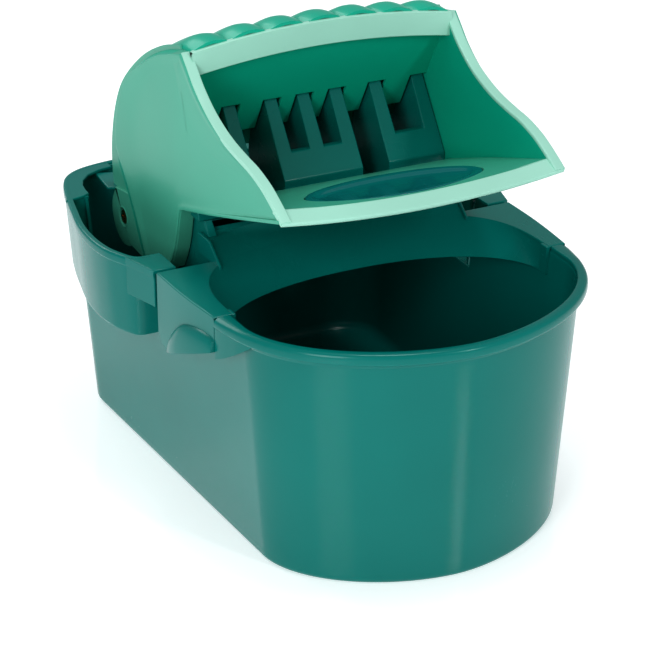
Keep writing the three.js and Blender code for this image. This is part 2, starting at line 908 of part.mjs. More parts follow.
// The back of the hopper: a curved skin with a channel behind each finger.
function makeBackSkin() {
  const half = hopperHalf - cheekThickness + 1;
  const spine = new THREE.SplineCurve(
    [
      [rimFrontY + 2, hopperRimEnd - 1],
      [138, 341],
      [167, 328],
      [205, 308],
      [240, 280],
      [258, 252],
      [267, 224],
      [268, 203],
    ].map(([y, z]) => new THREE.Vector2(y, z)),
  );
  const perHump = 6;
  return sheet(
    (u, v) => {
      const p = spine.getPoint(v);
      const along = spine.getTangent(v);
      const hump = humpRise * Math.abs(Math.sin(Math.PI * humpCount * u)) ** 0.7;
      const x = lerp(-half, half, u);
      const arch = archAt(x) * Math.max(0, 1 - 1.6 * v);
      return [x, p.x + (-along.y * hump), p.y + along.x * hump + arch];
    },
    [0, -1.4, -skinThickness],
    humpCount * perHump,
    14,
  );
}

function makeHopper() {
  return join(makeCheek(1), makeCheek(-1), makeShelf(), makePanel(), makeBackSkin());
}

function makeInlay() {
  return ovalPrism(0, inlayThickness, -0.2);
}

// ---------------------------------------------------------------- pivot hardware
const seatX = hopperHalf - cheekThickness - seatSink;

function onSide(side, a, b) {
  return side > 0 ? [a, b] : [-b, -a];
}

function makeBush(side) {
  const ends = onSide(side, armHalf + touchGap, seatX + 2 * touchGap);
  return cut(
    barX(...ends, pivotY, pivotZ, bushRadius),
    barX(ends[0] - 1, ends[1] + 1, pivotY, pivotZ, boltRadius + touchGap, 32),
  );
}

const washerIn = seatX + 3 * touchGap;

function makeWasher(side) {
  const ends = onSide(side, washerIn, washerIn + washerThickness);
  return cut(
    barX(...ends, pivotY, pivotZ, washerRadius),
    barX(ends[0] - 1, ends[1] + 1, pivotY, pivotZ, boltRadius + touchGap, 32),
  );
}

// Pan-head screw with a cross recess.
function makeBolt(side) {
  const headIn = washerIn + washerThickness + touchGap;
  const headOut = headIn + boltHeadThickness;
  const shank = barX(...onSide(side, armHalf - armThickness + 1, headIn + 0.5), pivotY, pivotZ, boltRadius, 24);
  const head = barX(...onSide(side, headIn, headOut), pivotY, pivotZ, boltHeadRadius, 32);
  const [x0, x1] = onSide(side, headOut - crossDepth, headOut + 1);
  const cross = join(
    block(x0, x1, pivotY - crossReach, pivotY + crossReach, pivotZ - crossHalf, pivotZ + crossHalf),
    block(x0, x1, pivotY - crossHalf, pivotY + crossHalf, pivotZ - crossReach, pivotZ + crossReach),
  );
  return cut(join(shank, head), cross);
}

function makeInsert(side) {
  const ends = onSide(side, armHalf - armThickness + touchGap, armHalf - touchGap);
  return cut(
    barX(...ends, pivotY, pivotZ, insertRadius, 32),
    barX(ends[0] - 1, ends[1] + 1, pivotY, pivotZ, boltRadius + touchGap, 24),
  );
}

// Torsion spring: one leg lies along the arm, the other along the cheek.
function makeSpring(side) {
  const inner = armHalf + springWire + touchGap;
  const outer = hopperHalf - cheekThickness - springWire - touchGap;
  const points = [];
  const turnSteps = 20;
  const steps = Math.round(springTurns * turnSteps);
  points.push(new THREE.Vector3(side * inner, pivotY - springLeg, pivotZ - springRadius));
  points.push(new THREE.Vector3(side * inner, pivotY - springLeg / 2, pivotZ - springRadius));
  for (let i = 0; i <= steps; i++) {
    const angle = -Math.PI / 2 + (2 * Math.PI * springTurns * i) / steps;
    points.push(
      new THREE.Vector3(
        side * lerp(inner, outer, i / steps),
        pivotY + springRadius * Math.cos(angle),
        pivotZ + springRadius * Math.sin(angle),
      ),
    );
  }
  const end = points[points.length - 1];
  points.push(new THREE.Vector3(end.x, end.y, end.z + springLeg / 2));
  points.push(new THREE.Vector3(end.x, end.y, end.z + springLeg));
  const path = new THREE.CatmullRomCurve3(points, false, "centripetal");
  const section = new THREE.Shape();
  section.absarc(0, 0, springWire, 0, 2 * Math.PI, false);
  const geometry = new THREE.ExtrudeGeometry(section, {
    steps: steps + 12,
    curveSegments: 3,
    bevelEnabled: false,
    extrudePath: path,
  });
  return solidOf(geometry);
}

// ---------------------------------------------------------------- materials
function finish(color, roughness, metalness = 0) {
  return () => new THREE.MeshStandardMaterial({ color, roughness, metalness });
}

const darkTeal = finish(0x00827a, 0.3);
const mint = finish(0x6ebeaa, 0.35);
const inlayTeal = finish(0x0d7f80, 0.18);
const brass = finish(0xb08a4a, 0.35, 1);
const steel = finish(0x9a9c9e, 0.3, 1);
const acetal = finish(0xe8e6de, 0.4);

// ---------------------------------------------------------------- assembly
const bucketAndPress = new THREE.Group();
const pressFrame = new THREE.Group();
const hopper = new THREE.Group();
bucketAndPress.add(pressFrame);
pressFrame.add(hopper);

function addPiece(parent, name, solid, material) {
  const mesh = new THREE.Mesh(geometryOf(solid), material());
  mesh.name = name;
  parent.add(mesh);
}

addPiece(bucketAndPress, "bucket", makeBucket(), darkTeal);
addPiece(pressFrame, "press_frame", makePressFrame(), darkTeal);
addPiece(pressFrame, "drain_grate", makeGrate(), darkTeal);
for (const [place, fingers] of Object.entries(combSites())) {
  addPiece(pressFrame, "comb_" + place, makeComb(fingers), darkTeal);
  screwPlaces(fingers).forEach(([x, y], i) => {
    addPiece(pressFrame, "comb_screw_" + place + "_" + (i + 1), makeCombScrew(x, y), steel);
  });
}
for (const [place, side] of [["left", -1], ["right", 1]]) {
  addPiece(pressFrame, "pivot_insert_" + place, makeInsert(side), brass);
  addPiece(pressFrame, "pivot_bush_" + place, makeBush(side), acetal);
  addPiece(pressFrame, "pivot_washer_" + place, makeWasher(side), steel);
  addPiece(pressFrame, "pivot_screw_" + place, makeBolt(side), brass);
  addPiece(pressFrame, "return_spring_" + place, makeSpring(side), steel);
}
addPiece(hopper, "hopper", makeHopper(), mint);
addPiece(hopper, "oval_inlay", makeInlay(), inlayTeal);

const frontEdge = mouthStart - mouthReach - rimRoll;
bucketAndPress.position.y = -(frontEdge + collarRear) / 2;

export default bucketAndPress;
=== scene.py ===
"""Mop bucket with a lift-out press and a hinged wringing hopper.

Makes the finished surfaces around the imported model.
"""

import math

import bmesh
import bpy
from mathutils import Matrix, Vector

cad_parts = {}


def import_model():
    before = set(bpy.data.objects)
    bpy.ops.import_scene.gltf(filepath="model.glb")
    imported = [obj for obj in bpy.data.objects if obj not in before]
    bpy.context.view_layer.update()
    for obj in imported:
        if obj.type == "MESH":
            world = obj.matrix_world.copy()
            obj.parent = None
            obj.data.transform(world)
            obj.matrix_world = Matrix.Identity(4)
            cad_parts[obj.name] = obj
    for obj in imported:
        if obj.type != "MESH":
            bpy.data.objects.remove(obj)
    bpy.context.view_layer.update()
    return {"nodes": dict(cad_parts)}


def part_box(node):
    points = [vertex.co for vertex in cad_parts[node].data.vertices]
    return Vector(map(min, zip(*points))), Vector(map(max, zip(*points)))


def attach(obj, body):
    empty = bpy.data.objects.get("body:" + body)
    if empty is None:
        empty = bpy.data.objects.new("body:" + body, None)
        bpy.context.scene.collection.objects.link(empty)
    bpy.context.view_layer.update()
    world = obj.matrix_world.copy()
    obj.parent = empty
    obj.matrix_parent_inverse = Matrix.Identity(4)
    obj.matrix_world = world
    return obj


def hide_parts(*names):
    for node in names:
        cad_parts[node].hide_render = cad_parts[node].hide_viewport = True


bl_info = {
    "name": "Mop bucket with press wringer",
    "version": (1, 0, 0),
    "blender": (4, 5, 0),
    "location": "3D View > Sidebar > Mop bucket",
    "description": "Builds the moulded surfaces of a mop bucket and its press around the packed model",
    "category": "Add Mesh",
}

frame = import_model()

# ------------------------------------------------------------------ shared sizes, in millimetres
MM = 0.001
BUCKET_LOW, BUCKET_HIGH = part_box("bucket")
HEIGHT = BUCKET_HIGH.z / MM
MOUTH_START = -22.0  # where the straight side walls turn into the rounded end
MOUTH_REACH = 96.4
ROUNDNESS = 1.8
RIM_HALF = 133.9
RIM_OUT = 5.6
RIM_HALF_REAR = 142.0
RIM_REAR = 312.0
BASE_HALF = 120.5
BASE_HALF_REAR = 132.5
BASE_REACH = 87.0
BASE_REAR = 300.0
REAR_CORNER = 38.0
COLLAR_LOW = 125.0
SADDLE_END = 90.0
# Lengths below are counted from the seam where the saddles meet the rolled rim.
SEAM = BUCKET_LOW.y / MM - MOUTH_START + MOUTH_REACH + RIM_OUT
PIVOT_Y, PIVOT_Z = 251.0, 167.0
CHEEK = 113.0
CHEEK_INNER = 106.2
LIP_TOP = 276.0
LIP_SIDE = -31.0
LIP_SAG = 7.2
LIP_REACH = 11.5
LIP_DROP = 5.2
SHELF_SLOPE = 0.345
SHELF_MIDDLE_SLOPE = 0.18
SHELF_BEND = 42.0
SHELF_BACK = 108.0
INLAY_Y = 4.0
INLAY_HALF = (70.0, 33.0)
RIM_SPAN = 107.0  # half the width of the hopper's rim and back
RIM_LOW = 325.2
RIM_DEPTH = 17.6
REAR_STEPS = 80  # steps round the back of a cheek's panel
FINGERS = {"left": (-99.0, -62.0), "middle": (-27.5, 0.0, 27.5), "right": (62.0, 99.0)}
FINGER = 12.0
PRESS_FRONT = 114.0
PRESS_REAR = 296.0
ARM_LOW = 150.0
ARM_HIGH = 187.0
SEAT_LOW, SEAT_HIGH = 205.0, 212.0
SEAT_REAR = 184.0
COMB_SEAT = 212.3


def world(point):
    """Millimetres from the seam to metres in the shared frame."""
    x, y, z = point
    return (x * MM, (y + SEAM) * MM, z * MM)


def lerp(a, b, t):
    """The value a share t of the way from a to b."""
    return a + (b - a) * t


def smooth(t):
    """Eases from 0 to 1, and stays there outside that range."""
    t = min(1.0, max(0.0, t))
    return t * t * (3 - 2 * t)


# ------------------------------------------------------------------ settings
def length_setting(name, description, default):
    """A length in metres."""
    return bpy.props.FloatProperty(name=name, description=description, default=default, unit="LENGTH")


class BucketSizes(bpy.types.PropertyGroup):
    """Sizes of the bucket's moulding."""

    wall: length_setting("Wall", "Wall thickness", 0.0024)
    base_round: length_setting("Base edge", "Radius round the foot of the wall", 0.005)
    floor: length_setting("Floor", "Floor thickness", 0.003)
    edge: length_setting("Ledge edges", "Radius of the edges of the ledge under the collar", 0.0009)


class PressSizes(bpy.types.PropertyGroup):
    """Sizes of the press frame, the combs and the return springs."""

    plate: length_setting("Plate", "Plate thickness", 0.0026)
    taper: bpy.props.FloatProperty(
        name="Taper", description="How much a finger narrows at its tip", default=0.16, subtype="FACTOR"
    )
    spring_wire: length_setting("Spring wire", "Radius of the return spring's wire", 0.0008)


class HopperSizes(bpy.types.PropertyGroup):
    """Sizes of the hopper."""

    bulge: length_setting("Cheek bulge", "How far a cheek's panel swells at the back", 0.003)
    humps: bpy.props.IntProperty(name="Humps", description="Channels down the back", default=7, min=1)
    hump_rise: length_setting("Hump rise", "Height of a hump over its valley", 0.005)


def color_setting(name, description, text):
    """A colour swatch whose default is an sRGB hex value."""
    return bpy.props.FloatVectorProperty(
        name=name, description=description, size=4, subtype="COLOR", min=0, max=1, default=linear(text)
    )


def linear(text):
    """sRGB hex to linear RGBA."""
    parts = [int(text[i : i + 2], 16) / 255 for i in (1, 3, 5)]
    return tuple(c / 12.92 if c <= 0.04045 else ((c + 0.055) / 1.055) ** 2.4 for c in parts) + (1.0,)


class FinishColors(bpy.types.PropertyGroup):
    """Colours of the mouldings and fittings; two of them are lighter and darker copies of the hopper's mint,
    painted highlight and painted shade.
    """

    teal: color_setting("Dark teal", "Bucket, press frame and combs", "#007A73")
    mint: color_setting("Mint", "Hopper", "#4CAF96")
    # painted highlight: a lighter copy of the hopper's mint for the rim, lip and front edges, which catch
    # the light
    painted_highlight_mint: color_setting("Mint with painted highlight", "Rim, lip and front edges of the hopper", "#A8DDCC")
    # painted shade: a darker copy of the hopper's mint for the notched panel, humped back, cheek linings and
    # the band at the back of each cheek, which turn away from the light
    painted_shade_mint: color_setting("Mint with painted shade", "Panel and back of the hopper", "#0AB296")
    inlay: color_setting("Inlay", "Oval dish in the shelf", "#0A6F70")
    brass: color_setting("Brass", "Pivot screws and inserts", "#B58A45")
    zinc: color_setting("Zinc", "Washers, springs and comb screws", "#A5A8AA")
    acetal: color_setting("Acetal", "Pivot bushes", "#E6E3DA")
    floor: color_setting("Floor", "Studio floor", "#F4F6F7")


# ------------------------------------------------------------------ outlines
def superellipse(half, reach, power, angle):
    """Point on a rounded end: x across, and how far it reaches."""
    c, s = math.cos(angle), math.sin(angle)
    return -half * math.copysign(abs(c) ** (2 / power), c), reach * max(0.0, s) ** (2 / power)


def spline(points, count):
    """Evenly spaced points on a smooth curve through the given ones."""
    fine = []
    ends = [points[0]] + list(points) + [points[-1]]
    for i in range(1, len(ends) - 2):
        p0, p1, p2, p3 = (Vector(p) for p in ends[i - 1 : i + 3])
        m1, m2 = (p2 - p0) / 2, (p3 - p1) / 2
        for k in range(24):
            t = k / 24
            h = (2 * t**3 - 3 * t**2 + 1, t**3 - 2 * t**2 + t, -2 * t**3 + 3 * t**2, t**3 - t**2)
            fine.append(p1 * h[0] + m1 * h[1] + p2 * h[2] + m2 * h[3])
    fine.append(Vector(points[-1]))
    lengths = [0.0]
    for a, b in zip(fine, fine[1:]):
        lengths.append(lengths[-1] + (b - a).length)
    result, at = [], 0
    for i in range(count):
        goal = lengths[-1] * i / (count - 1)
        while at < len(fine) - 2 and lengths[at + 1] < goal:
            at += 1
        share = (goal - lengths[at]) / max(1e-9, lengths[at + 1] - lengths[at])
        result.append(tuple(fine[at].lerp(fine[at + 1], min(1.0, share))))
    return result


def outward(outline, closed=True):
    """Mitred outward direction at each point of a flat outline; an open one runs anticlockwise."""
    count = len(outline)
    area = sum(a[0] * b[1] - b[0] * a[1] for a, b in zip(outline, outline[1:] + outline[:1]))
    turn = 1 if area > 0 or not closed else -1
    result = []
    for i, here in enumerate(outline):
        before = outline[i - 1] if closed or i else None
        after = outline[(i + 1) % count] if closed or i < count - 1 else None
        sides = []
        for a, b in ((before, here), (here, after)):
            if a is not None and b is not None:
                d = Vector((b[0] - a[0], b[1] - a[1]))
                if d.length > 1e-9:
                    d.normalize()
                    sides.append(Vector((d.y * turn, -d.x * turn)))
        if len(sides) == 1:
            result.append(sides[0])
            continue
        total = sides[0] + sides[1]
        result.append(total / max(0.55, 1 + sides[0].dot(sides[1])))
    return result


# ------------------------------------------------------------------ skins
def stack(loops, ends=True, ring=False):
    """A skin through closed loops of equally many points."""
    count = len(loops[0])
    points = [p for loop in loops for p in loop]
    faces = []
    rows = len(loops) if ring else len(loops) - 1
    for row in range(rows):
        low, high = row * count, (row + 1) % len(loops) * count
        for i in range(count):
            j = (i + 1) % count
            faces.append((low + i, low + j, high + j, high + i))
    if ends and not ring:
        faces.append(tuple(reversed(range(count))))
        faces.append(tuple(range(len(points) - count, len(points))))
    return points, faces


def slab(outline, low, high, place, edge=0.9, steps=4):
    """A plate over a closed outline (u, v) from w = low to high, with rounded edges."""
    normals = outward(outline)
    edge = min(edge, abs(high - low) / 2.05)
    rings = []
    for k in range(steps + 1):
        angle = math.pi / 2 * k / steps
        rings.append((edge * (1 - math.sin(angle)), low + edge * (1 - math.cos(angle))))
    for inset, lift in reversed(rings[:]):
        rings.append((inset, high - (lift - low)))
    loops = []
    for inset, w in rings:
        loops.append([place(p[0] - n.x * inset, p[1] - n.y * inset, w) for p, n in zip(outline, normals)])
    return stack(loops)


def flat(u, v, w):
    """Places a plate level: its outline in X and Y, its thickness in Z."""
    return (u, v, w)


def across(u, v, w):
    """Places a plate across X: its outline in Y and Z, its thickness in X."""
    return (w, u, v)


def bar(x0, x1, y0, y1, z0, z1, edge=0.9):
    """A rectangular bar with rounded edges."""
    return slab([(x0, y0), (x1, y0), (x1, y1), (x0, y1)], z0, z1, flat, edge, 3)


def shell(face, back, columns, rows):
    """A closed skin between two surfaces, each given as a function of u and v from 0 to 1."""
    points, faces = [], []
    for side in (face, back):
        for i in range(columns + 1):
            for j in range(rows + 1):
                points.append(side(i / columns, j / rows))
    far = (columns + 1) * (rows + 1)

    def at(i, j):
        return i * (rows + 1) + j

    for i in range(columns):
        for j in range(rows):
            quad = (at(i, j), at(i + 1, j), at(i + 1, j + 1), at(i, j + 1))
            faces.append(quad)
            faces.append(tuple(far + k for k in reversed(quad)))
    border = [at(i, 0) for i in range(columns)] + [at(columns, j) for j in range(rows)]
    border += [at(i, rows) for i in range(columns, 0, -1)] + [at(0, j) for j in range(rows, 0, -1)]
    for a, b in zip(border, border[1:] + border[:1]):
        faces.append((b, a, far + a, far + b))
    return points, faces


def sweep(path, normals, section, lift=lambda i: 1.0):
    """A closed section (out, z) carried along a flat path; lift(i) stretches its outward side."""
    loops = []
    for i, (p, n) in enumerate(zip(path, normals)):
        scale = lift(i)
        out = [(o * (scale if o > 0 else 1), z) for o, z in section]
        loops.append([(p[0] + n.x * o, p[1] + n.y * o, z) for o, z in out])
    return stack(loops)


def mirrored(skin):
    """The same skin on the other side of the object."""
    points, faces = skin
    return [(-x, y, z) for x, y, z in points], [tuple(reversed(f)) for f in faces]


# ------------------------------------------------------------------ finished pieces
def make_piece(name, skins, material, body, replaced=(), crease=34, bevel=0.0, second=None):
    """One object from closed skins in millimetres, smooth shaded up to the crease angle."""
    mesh = bpy.data.meshes.new(name)
    points, faces = [], []
    for skin in skins:
        start = len(points)
        points.extend(world(p) for p in skin[0])
        faces.extend(tuple(start + i for i in face) for face in skin[1])
    mesh.from_pydata(points, [], faces)
    mesh.validate()
    work = bmesh.new()
    work.from_mesh(mesh)
    if bevel:
        bmesh.ops.remove_doubles(work, verts=work.verts, dist=1e-6)
        bmesh.ops.dissolve_degenerate(work, edges=work.edges, dist=1e-7)
    bmesh.ops.recalc_face_normals(work, faces=work.faces)
    work.to_mesh(mesh)
    work.free()
    mesh.polygons.foreach_set("use_smooth", [True] * len(mesh.polygons))
    mesh.set_sharp_from_angle(angle=math.radians(crease))
    mesh.materials.append(material)
    if second:
        other, chosen = second
        mesh.materials.append(other)
        for i in chosen:
            mesh.polygons[i].material_index = 1
    piece = bpy.data.objects.new(name, mesh)
    bpy.context.scene.collection.objects.link(piece)
    if bevel:
        rounding = piece.modifiers.new("Rounded edges", "BEVEL")
        rounding.width = bevel * MM
        rounding.segments = 3
        rounding.angle_limit = math.radians(crease)
        rounding.use_clamp_overlap = True
    shading = piece.modifiers.new("Even shading", "WEIGHTED_NORMAL")
    shading.keep_sharp = True
    shading.weight = 80
    settle(piece, body, replaced)


def settle(piece, body, replaced=()):
    """Says which body a piece rides on, and which nodes it replaces."""
    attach(piece, body)
    if replaced:
        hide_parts(*replaced)


# ------------------------------------------------------------------ materials
def add_node(tree, kind, settings=None, links=None):
    """Adds a node, sets its attributes and inputs, and links outputs of other nodes to its inputs."""
    node = tree.nodes.new(kind)
    for key, value in (settings or {}).items():
        if isinstance(key, str) and key not in node.inputs:
            setattr(node, key, value)
        else:
            node.inputs[key].default_value = value
    for key, (source, output) in (links or {}).items():
        tree.links.new(source.outputs[output], node.inputs[key])
    return node


def new_material(name):
    """An empty material, its node tree and its coordinates."""
    material = bpy.data.materials.new(name)
    material.use_nodes = True
    tree = material.node_tree
    tree.nodes.clear()
    place = add_node(tree, "ShaderNodeTexCoord")
    return material, tree, place


def finish_material(tree, shader):
    """Connects the shader to the material's output."""
    add_node(tree, "ShaderNodeOutputMaterial", links={"Surface": (shader, "BSDF")})


def ramp(tree, source, output, stops):
    """A colour ramp with the given (position, colour) stops."""
    node = add_node(tree, "ShaderNodeValToRGB", links={"Fac": (source, output)})
    elements = node.color_ramp.elements
    while len(elements) < len(stops):
        elements.new(0.5)
    for element, (position, color) in zip(elements, stops):
        element.position = position
        element.color = color
    return node


def shade(color, factor):
    """The colour made lighter or darker."""
    return tuple(min(1.0, c * factor) for c in color[:3]) + (1.0,)


def grey(value):
    """A neutral colour."""
    return (value, value, value, 1.0)


def noise(tree, source, output, scale, detail, roughness=0.5):
    """Cloud noise; its scale is in waves per metre of the vector that it is given."""
    sizes = {"Scale": scale, "Detail": detail, "Roughness": roughness}
    return add_node(tree, "ShaderNodeTexNoise", sizes, {"Vector": (source, output)})


def spread(tree, source, output, before, after):
    """Maps one range of values to another."""
    ranges = {"From Min": before[0], "From Max": before[1], "To Min": after[0], "To Max": after[1]}
    return add_node(tree, "ShaderNodeMapRange", ranges, {"Value": (source, output)})


def relief(tree, height, strength, distance):
    """A bump of the given depth in metres."""
    sizes = {"Strength": strength, "Distance": distance}
    return add_node(tree, "ShaderNodeBump", sizes, {"Height": (height, "Fac")})


def moulded_polypropylene(name, color, roughness, sheen_spread, wear):
    """Injection-moulded polypropylene: a deep even colour under a waxy gloss, with the faint ripple of the
    mould's polish, slow cloudy drift where the melt flowed, and fine scuffs where the piece is handled."""
    material, tree, place = new_material(name)
    flow = noise(tree, place, "Object", 7.0, 3.0)
    tone = ramp(tree, flow, "Fac", [(0.3, shade(color, 0.94)), (0.7, shade(color, 1.06))])
    # scuffs: streaks about 1 mm across and 4 to 8 mm long, gathered in patches
    streak_scale = {"Scale": (900.0, 120.0, 260.0)}
    stretch = add_node(tree, "ShaderNodeMapping", streak_scale, {"Vector": (place, "Object")})
    streak = noise(tree, stretch, "Vector", 1.0, 2.0)
    patch = noise(tree, place, "Object", 18.0, 2.0)
    lines = ramp(tree, streak, "Fac", [(0.62, grey(0.0)), (0.80, grey(1.0))])
    where = ramp(tree, patch, "Fac", [(0.50, grey(0.0)), (0.68, grey(1.0))])
    product = {0: (lines, "Color"), 1: (where, "Color")}
    scuff = add_node(tree, "ShaderNodeMath", {"operation": "MULTIPLY"}, product)
    rubbed = spread(tree, scuff, "Value", (0.0, 1.0), (0.0, wear))
    blend = {0: (rubbed, "Result"), 6: (tone, "Color")}
    pale = add_node(tree, "ShaderNodeMix", {"data_type": "RGBA", 7: shade(color, 1.5)}, blend)
    gloss = spread(tree, flow, "Fac", (0.25, 0.75), (roughness - sheen_spread, roughness + sheen_spread))
    total = {0: (gloss, "Result"), 1: (rubbed, "Result")}
    rough = add_node(tree, "ShaderNodeMath", {"operation": "ADD", "use_clamp": True}, total)
    # mould ripple: about 2 mm across and at most a few hundredths of a millimetre deep
    bump = relief(tree, noise(tree, place, "Object", 420.0, 2.0, 0.4), 0.12, 0.00004)
    surface = {"IOR": 1.49, "Metallic": 0.0, "Specular IOR Level": 0.2}
    surface.update({"Coat Weight": 0.12, "Coat Roughness": 0.12})
    maps = {"Base Color": (pale, 2), "Roughness": (rough, "Value"), "Normal": (bump, "Normal")}
    shader = add_node(tree, "ShaderNodeBsdfPrincipled", surface, maps)
    finish_material(tree, shader)
    return material


def plated_metal(name, color, roughness, grain):
    """Turned and plated metal: an even fine grain about 0.4 mm across in place of turning marks, with dull
    freckles where the plating has aged."""
    material, tree, place = new_material(name)
    bump = relief(tree, noise(tree, place, "Object", grain, 4.0, 0.6), 0.2, 0.00003)
    age = noise(tree, place, "Object", 260.0, 3.0)
    tone = ramp(tree, age, "Fac", [(0.35, shade(color, 0.72)), (0.65, shade(color, 1.05))])
    rough = spread(tree, age, "Fac", (0.3, 0.7), (roughness * 0.7, roughness * 1.5))
    shader = add_node(
        tree,
        "ShaderNodeBsdfPrincipled",
        {"Metallic": 1.0},
        {"Base Color": (tone, "Color"), "Roughness": (rough, "Result"), "Normal": (bump, "Normal")},
    )
    finish_material(tree, shader)
    return material


def studio_floor(name, color):
    """Glossy opal acrylic on a light table: a clean pale floor, softly lit from below."""
    material, tree, place = new_material(name)
    cloud = noise(tree, place, "Object", 1.2, 2.0)
    tone = ramp(tree, cloud, "Fac", [(0.3, shade(color, 0.985)), (0.7, shade(color, 1.0))])
    shader = add_node(
        tree,
        "ShaderNodeBsdfPrincipled",
        {"IOR": 1.75, "Roughness": 0.05, "Emission Strength": 0.47},
        {"Base Color": (tone, "Color"), "Emission Color": (tone, "Color")},
    )
    finish_material(tree, shader)
    return material


def finishes():
    """The materials, made once and found again by name."""
    colors = bpy.context.scene.bucket_colors
    plastics = {
        "polypropylene, bucket": (colors.teal, 0.24, 0.03, 0.05),
        "polypropylene, press": (colors.teal, 0.28, 0.03, 0.06),
        "polypropylene, hopper": (colors.mint, 0.34, 0.03, 0.05),
        # lighter and darker copies of the hopper's plastic, for painted highlight and painted shade
        "polypropylene, hopper edges": (colors.painted_highlight_mint, 0.36, 0.03, 0.05),
        "polypropylene, hopper inside": (colors.painted_shade_mint, 0.36, 0.03, 0.05),
        "polished acrylic, inlay": (colors.inlay, 0.12, 0.02, 0.05),
        "acetal, natural": (colors.acetal, 0.42, 0.03, 0.06),
    }
    metals = {
        "brass, turned": (colors.brass, 0.26, 2600.0),
        "steel, zinc plated": (colors.zinc, 0.30, 2200.0),
    }
    looks = {}
    for maker, rows in ((moulded_polypropylene, plastics), (plated_metal, metals)):
        for name, values in rows.items():
            looks[name] = bpy.data.materials.get(name) or maker(name, *values)
    return looks


# ------------------------------------------------------------------ bucket
def wall_columns():
    """The bucket's outline as columns that hold at every height: (kind, value, side)."""
    steps = 120
    columns = [("end", math.pi * i / steps, 0) for i in range(steps + 1)]
    shares = [0.02, 0.05, 0.12, 0.25, 0.38, 0.465, 0.474, 0.6, 0.75, 0.88, 0.922, 0.931, 0.97]
    columns += [("side", share, 1) for share in shares]
    columns += [("corner", math.pi / 2 * i / 16, 1) for i in range(17)]
    columns += [("rear", share / 8, 0) for share in range(1, 8)]
    columns += [("corner", math.pi / 2 * i / 16, -1) for i in range(16, -1, -1)]
    columns += [("side", share, -1) for share in reversed(shares)]
    return columns


def wall_point(column, z, inset):
    """Where a column of the bucket's outline stands at a height, moved inwards by the inset."""
    kind, value, side = column
    up = z / HEIGHT
    half = lerp(BASE_HALF, RIM_HALF, up) - inset
    half_rear = lerp(BASE_HALF_REAR, RIM_HALF_REAR, up) - inset
    reach = lerp(BASE_REACH, MOUTH_REACH, up) - inset
    rear = lerp(BASE_REAR, RIM_REAR, up) - inset
    corner = REAR_CORNER - inset
    if kind == "end":
        x, depth = superellipse(half, reach, ROUNDNESS, value)
        return (x, MOUTH_START - depth)
    if kind == "side":
        return (side * lerp(half, half_rear, value), lerp(MOUTH_START, rear - corner, value))
    if kind == "corner":
        return (
            side * (half_rear - corner + corner * math.cos(value)),
            rear - corner + corner * math.sin(value),
        )
    return (lerp(half_rear - corner, corner - half_rear, value), rear)


UNDER_RIM = 186.0
UNDER_FLANGE = 186.3
UNDER_COLLAR = 127.2
UNDER_BRIDGE = 188.6
COLLAR_START = 118.0
BRIDGE_START = 252.5


def wall_top(column):
    """The wall is low where the collar takes over, and rises again across the back, under the bridges."""
    y = wall_point(column, HEIGHT, 0)[1]
    if y < 0:
        return UNDER_RIM
    if y < COLLAR_START:
        return UNDER_FLANGE
    if y < BRIDGE_START:
        return UNDER_COLLAR
    return UNDER_BRIDGE


def bucket_wall(wall, base_round, floor):
    """The wall and floor as one skin: up the outside, over the brim and down the inside."""
    columns = wall_columns()
    tops = [wall_top(column) for column in columns]
    loops = []

    def level(inset, height):
        loops.append([(*wall_point(c, height(t), inset), height(t)) for c, t in zip(columns, tops)])

    # a shallow recess under the floor leaves a foot all round
    for inset, height in ((17.0, 1.4), (15.0, 1.2), (14.2, 0.2), (13.4, 0.0), (base_round, 0.0)):
        level(inset, lambda t, h=height: h)
    for k in range(1, 6):
        angle = math.pi / 2 * k / 5
        level(base_round * (1 - math.sin(angle)), lambda t, a=angle: base_round * (1 - math.cos(a)))
    for share in (0.06, 0.2, 0.4, 0.6, 0.8, 0.93, 0.985):
        level(0.0, lambda t, s=share: lerp(base_round, t - 1.0, s))
    brim = [(0.0, 0.9), (0.3, 0.2), (0.9, 0.0), (wall - 0.9, 0.0), (wall - 0.3, 0.2), (wall, 0.9)]
    for inset, below in brim:
        level(inset, lambda t, b=below: t - b)
    bowl = 8.0
    for share in (0.985, 0.93, 0.8, 0.6, 0.4, 0.2, 0.06, 0.0):
        level(wall, lambda t, s=share: lerp(floor + bowl, t - 1.0, s))
    for k in range(1, 6):
        angle = math.pi / 2 * k / 5
        level(wall + bowl * (1 - math.cos(angle)), lambda t, a=angle: floor + bowl * (1 - math.sin(a)))
    return stack(loops)


def rim_path():
    """The rolled rim runs round the open end, from seam to seam."""
    sides = [0.0735, 0.06, 0.045, 0.03, 0.015]
    columns = [("side", share, -1) for share in sides]
    columns += [("end", math.pi * i / 150, 0) for i in range(151)]
    columns += [("side", share, 1) for share in reversed(sides)]
    return [wall_point(column, HEIGHT, 0) for column in columns]


def saddle_flare(y):
    """Rises from 0 to 1 where the rim widens towards the saddles."""
    return smooth((y + 44) / 46) ** 1.2


def rolled_rim():
    path = rim_path()
    normals = outward(path, closed=False)
    section = [
        (-1.2, 176.0), (-2.4, 177.0), (-2.4, 188.2), (-2.1, 189.2), (-1.4, 189.8), (-0.4, 190.0),
        (1.6, 190.0), (3.2, 189.7), (4.3, 189.1), (5.1, 188.1), (5.5, 186.8), (5.6, 185.2),
        (5.6, 183.4), (5.3, 182.2), (4.6, 181.4), (3.4, 181.1), (2.2, 181.4), (1.3, 181.0),
        (0.5, 180.0), (0.0, 178.6),
    ]  # fmt: skip

    def widen(i):
        """The rim stands out further where it meets the saddles."""
        return 1 + 0.98 * saddle_flare(path[i][1])

    return sweep(path, normals, section, widen)


